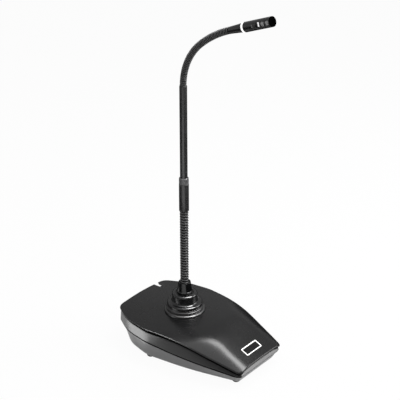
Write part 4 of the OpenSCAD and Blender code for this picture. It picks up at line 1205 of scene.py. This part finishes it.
# %% Floor and flag
FLOOR_HALF = 4.0
FLOOR_OWN_SHADE = 0.05
FLAG_HALF = 2.0
NEAR_LIMIT = (-0.1, 0.1)
NEAR_SIDE = (-0.105, 0.06)
REAR_LEFT = (0.03, -0.22)
FRONT_START = 0.02
WINDOW_START = 0.25
WINDOW_LIMIT = 1.0
WINDOW_SIDE = (-0.45, 0.13)
STAND_BEHIND = 0.9
STAND_H = 0.26
CLOTH_Z = 0.001
PAPER_WHITE = 0.9


def sheet(name, corners):
    """Flat faces of four corners each, staged as a piece of the studio."""
    mesh = bpy.data.meshes.new(name)
    faces = np.arange(len(corners)).reshape(-1, 4)
    mesh.from_pydata(np.asarray(corners).tolist(), [], faces.tolist())
    piece = add_object(name, mesh)
    return piece


corner = np.array([[-1, -1, 0], [1, -1, 0], [1, 1, 0], [-1, 1, 0]]) * FLOOR_HALF
ground = sheet("studio_floor", corner)
paper = bpy.data.materials.new("studio_paper")
paper.use_nodes = True
tree = paper.node_tree
tree.nodes.clear()
matt = tree.nodes.new("ShaderNodeBsdfDiffuse")
matt.inputs["Color"].default_value = (PAPER_WHITE, PAPER_WHITE, PAPER_WHITE, 1)
white = tree.nodes.new("ShaderNodeEmission")
mixed = tree.nodes.new("ShaderNodeMixShader")
output = tree.nodes.new("ShaderNodeOutputMaterial")
seen = light_path(tree, "Is Camera Ray", "Is Glossy Ray", "Is Transmission Ray")
tree.links.new(choose(tree, seen, 0.0, 1 - FLOOR_OWN_SHADE), mixed.inputs["Fac"])
tree.links.new(matt.outputs["BSDF"], mixed.inputs[1])
tree.links.new(white.outputs["Emission"], mixed.inputs[2])
tree.links.new(mixed.outputs["Shader"], output.inputs["Surface"])
ground.data.materials.append(paper)

cloth = new_finish("black_cloth", (0.005, 0.005, 0.005), 1.0, {SPECULAR: 0.0})


def cloth_corners(near, far, start, end, high=CLOTH_Z):
    """A cloth from near to far ahead and from start to end across, its far edge at a height."""
    reach = np.array([near, near, far, far])[:, None] * forward_part
    across = np.array([start, end, end, start])[:, None] * right
    return reach + across + np.array([CLOTH_Z, CLOTH_Z, high, high])[:, None] * np.array([0, 0, 1])


cloth_plan = [
    (-FLAG_HALF, NEAR_LIMIT[0], -FLAG_HALF, FLAG_HALF),
    (NEAR_LIMIT[0], REAR_LEFT[0], -FLAG_HALF, REAR_LEFT[1]),
    (REAR_LEFT[0], NEAR_LIMIT[1], -FLAG_HALF, NEAR_SIDE[0]),
    (NEAR_LIMIT[0], FRONT_START, NEAR_SIDE[1], FLAG_HALF),
    (FRONT_START, WINDOW_START, WINDOW_SIDE[1], FLAG_HALF),
    (NEAR_LIMIT[1], WINDOW_START, -FLAG_HALF, WINDOW_SIDE[1]),
    (WINDOW_START, WINDOW_LIMIT, -FLAG_HALF, WINDOW_SIDE[0]),
    (WINDOW_START, WINDOW_LIMIT, WINDOW_SIDE[1], FLAG_HALF),
    (WINDOW_LIMIT, FLAG_HALF, -FLAG_HALF, FLAG_HALF),
    (-STAND_BEHIND, -STAND_BEHIND, -FLAG_HALF, FLAG_HALF, STAND_H),
]
cloths = [cloth_corners(*row) for row in cloth_plan]
flag = sheet("black_flag", np.concatenate(cloths))
flag.data.materials.append(cloth)
for rays in ("camera", "diffuse", "shadow", "transmission"):
    setattr(flag, "visible_" + rays, False)
print("floor", 2 * FLOOR_HALF, "m wide, cloths:", len(cloths))

# %% [markdown]
# Three soft lamps light the part. The one overhead to the right draws the bright lines on the
# ridge and on the collar's rounded edges. Cards add no light of their own to matt surfaces: they
# are lamps that show only in reflections, like the white boards beside a photographer's table.
# Most cards shine on a few pieces alone, and a receiver collection names them.


# %% Lamps
def soft_lamp(name, place, aim, size, power, card=False):
    """A rectangular lamp at a place, turned to face its aim. A card only shows in reflections."""
    data = bpy.data.lights.new(name, "AREA")
    data.shape = "RECTANGLE"
    data.size, data.size_y = size
    data.energy = power
    lamp = add_object(name, data)
    back = np.array(place, float) - np.array(aim, float)
    back /= np.linalg.norm(back)
    side = np.cross([0, 1, 0.01], back)
    side /= np.linalg.norm(side)
    set_pose(lamp, side, np.cross(back, side), back, place)
    lamp.visible_diffuse = not card
    return lamp


soft_lamp("overhead", (0.28, -0.2, 0.95), (0, 0, 0.05), (0.28, 0.8), 4.5)
soft_lamp("overhead_board", (0.285, -0.21, 0.96), (0, 0, 0.05), (0.28, 0.8), 5.0, card=True)
soft_lamp("ceiling", (-0.25, 0.0, 1.0), (0, 0, 0.05), (0.7, 0.7), 2.0)
soft_lamp("front_right", (0.75, -0.7, 0.5), (0, -0.05, 0.03), (0.5, 0.5), 5.0)


def card_on(pieces, *lamp):
    """A card that shines on the named pieces alone."""
    card = soft_lamp(*lamp, card=True)
    group = bpy.data.collections.new(lamp[0] + "_group")
    for piece in pieces:
        group.objects.link(piece)
    card.light_linking.receiver_collection = group


sides = [band, shell]
card_on([collar, mount], "collar_card", (0.19, -0.21, 0.96), (0, 0, 0.05), (0.5, 0.8), 18.0)
card_on([cover], "left_card", (-0.8, 0.45, 0.5), (0, 0, 0.03), (0.5, 0.5), 14.0)
card_on(sides, "front_card", (0.1, -0.18, 0.003), (0.1, -0.18, 1.0), (0.24, 0.16), 0.6)
card_on(sides, "rear_card", (-0.105, 0.095, 0.003), (-0.105, 0.095, 1.0), (0.08, 0.09), 0.12)
bpy.context.scene.view_settings.view_transform = "Standard"
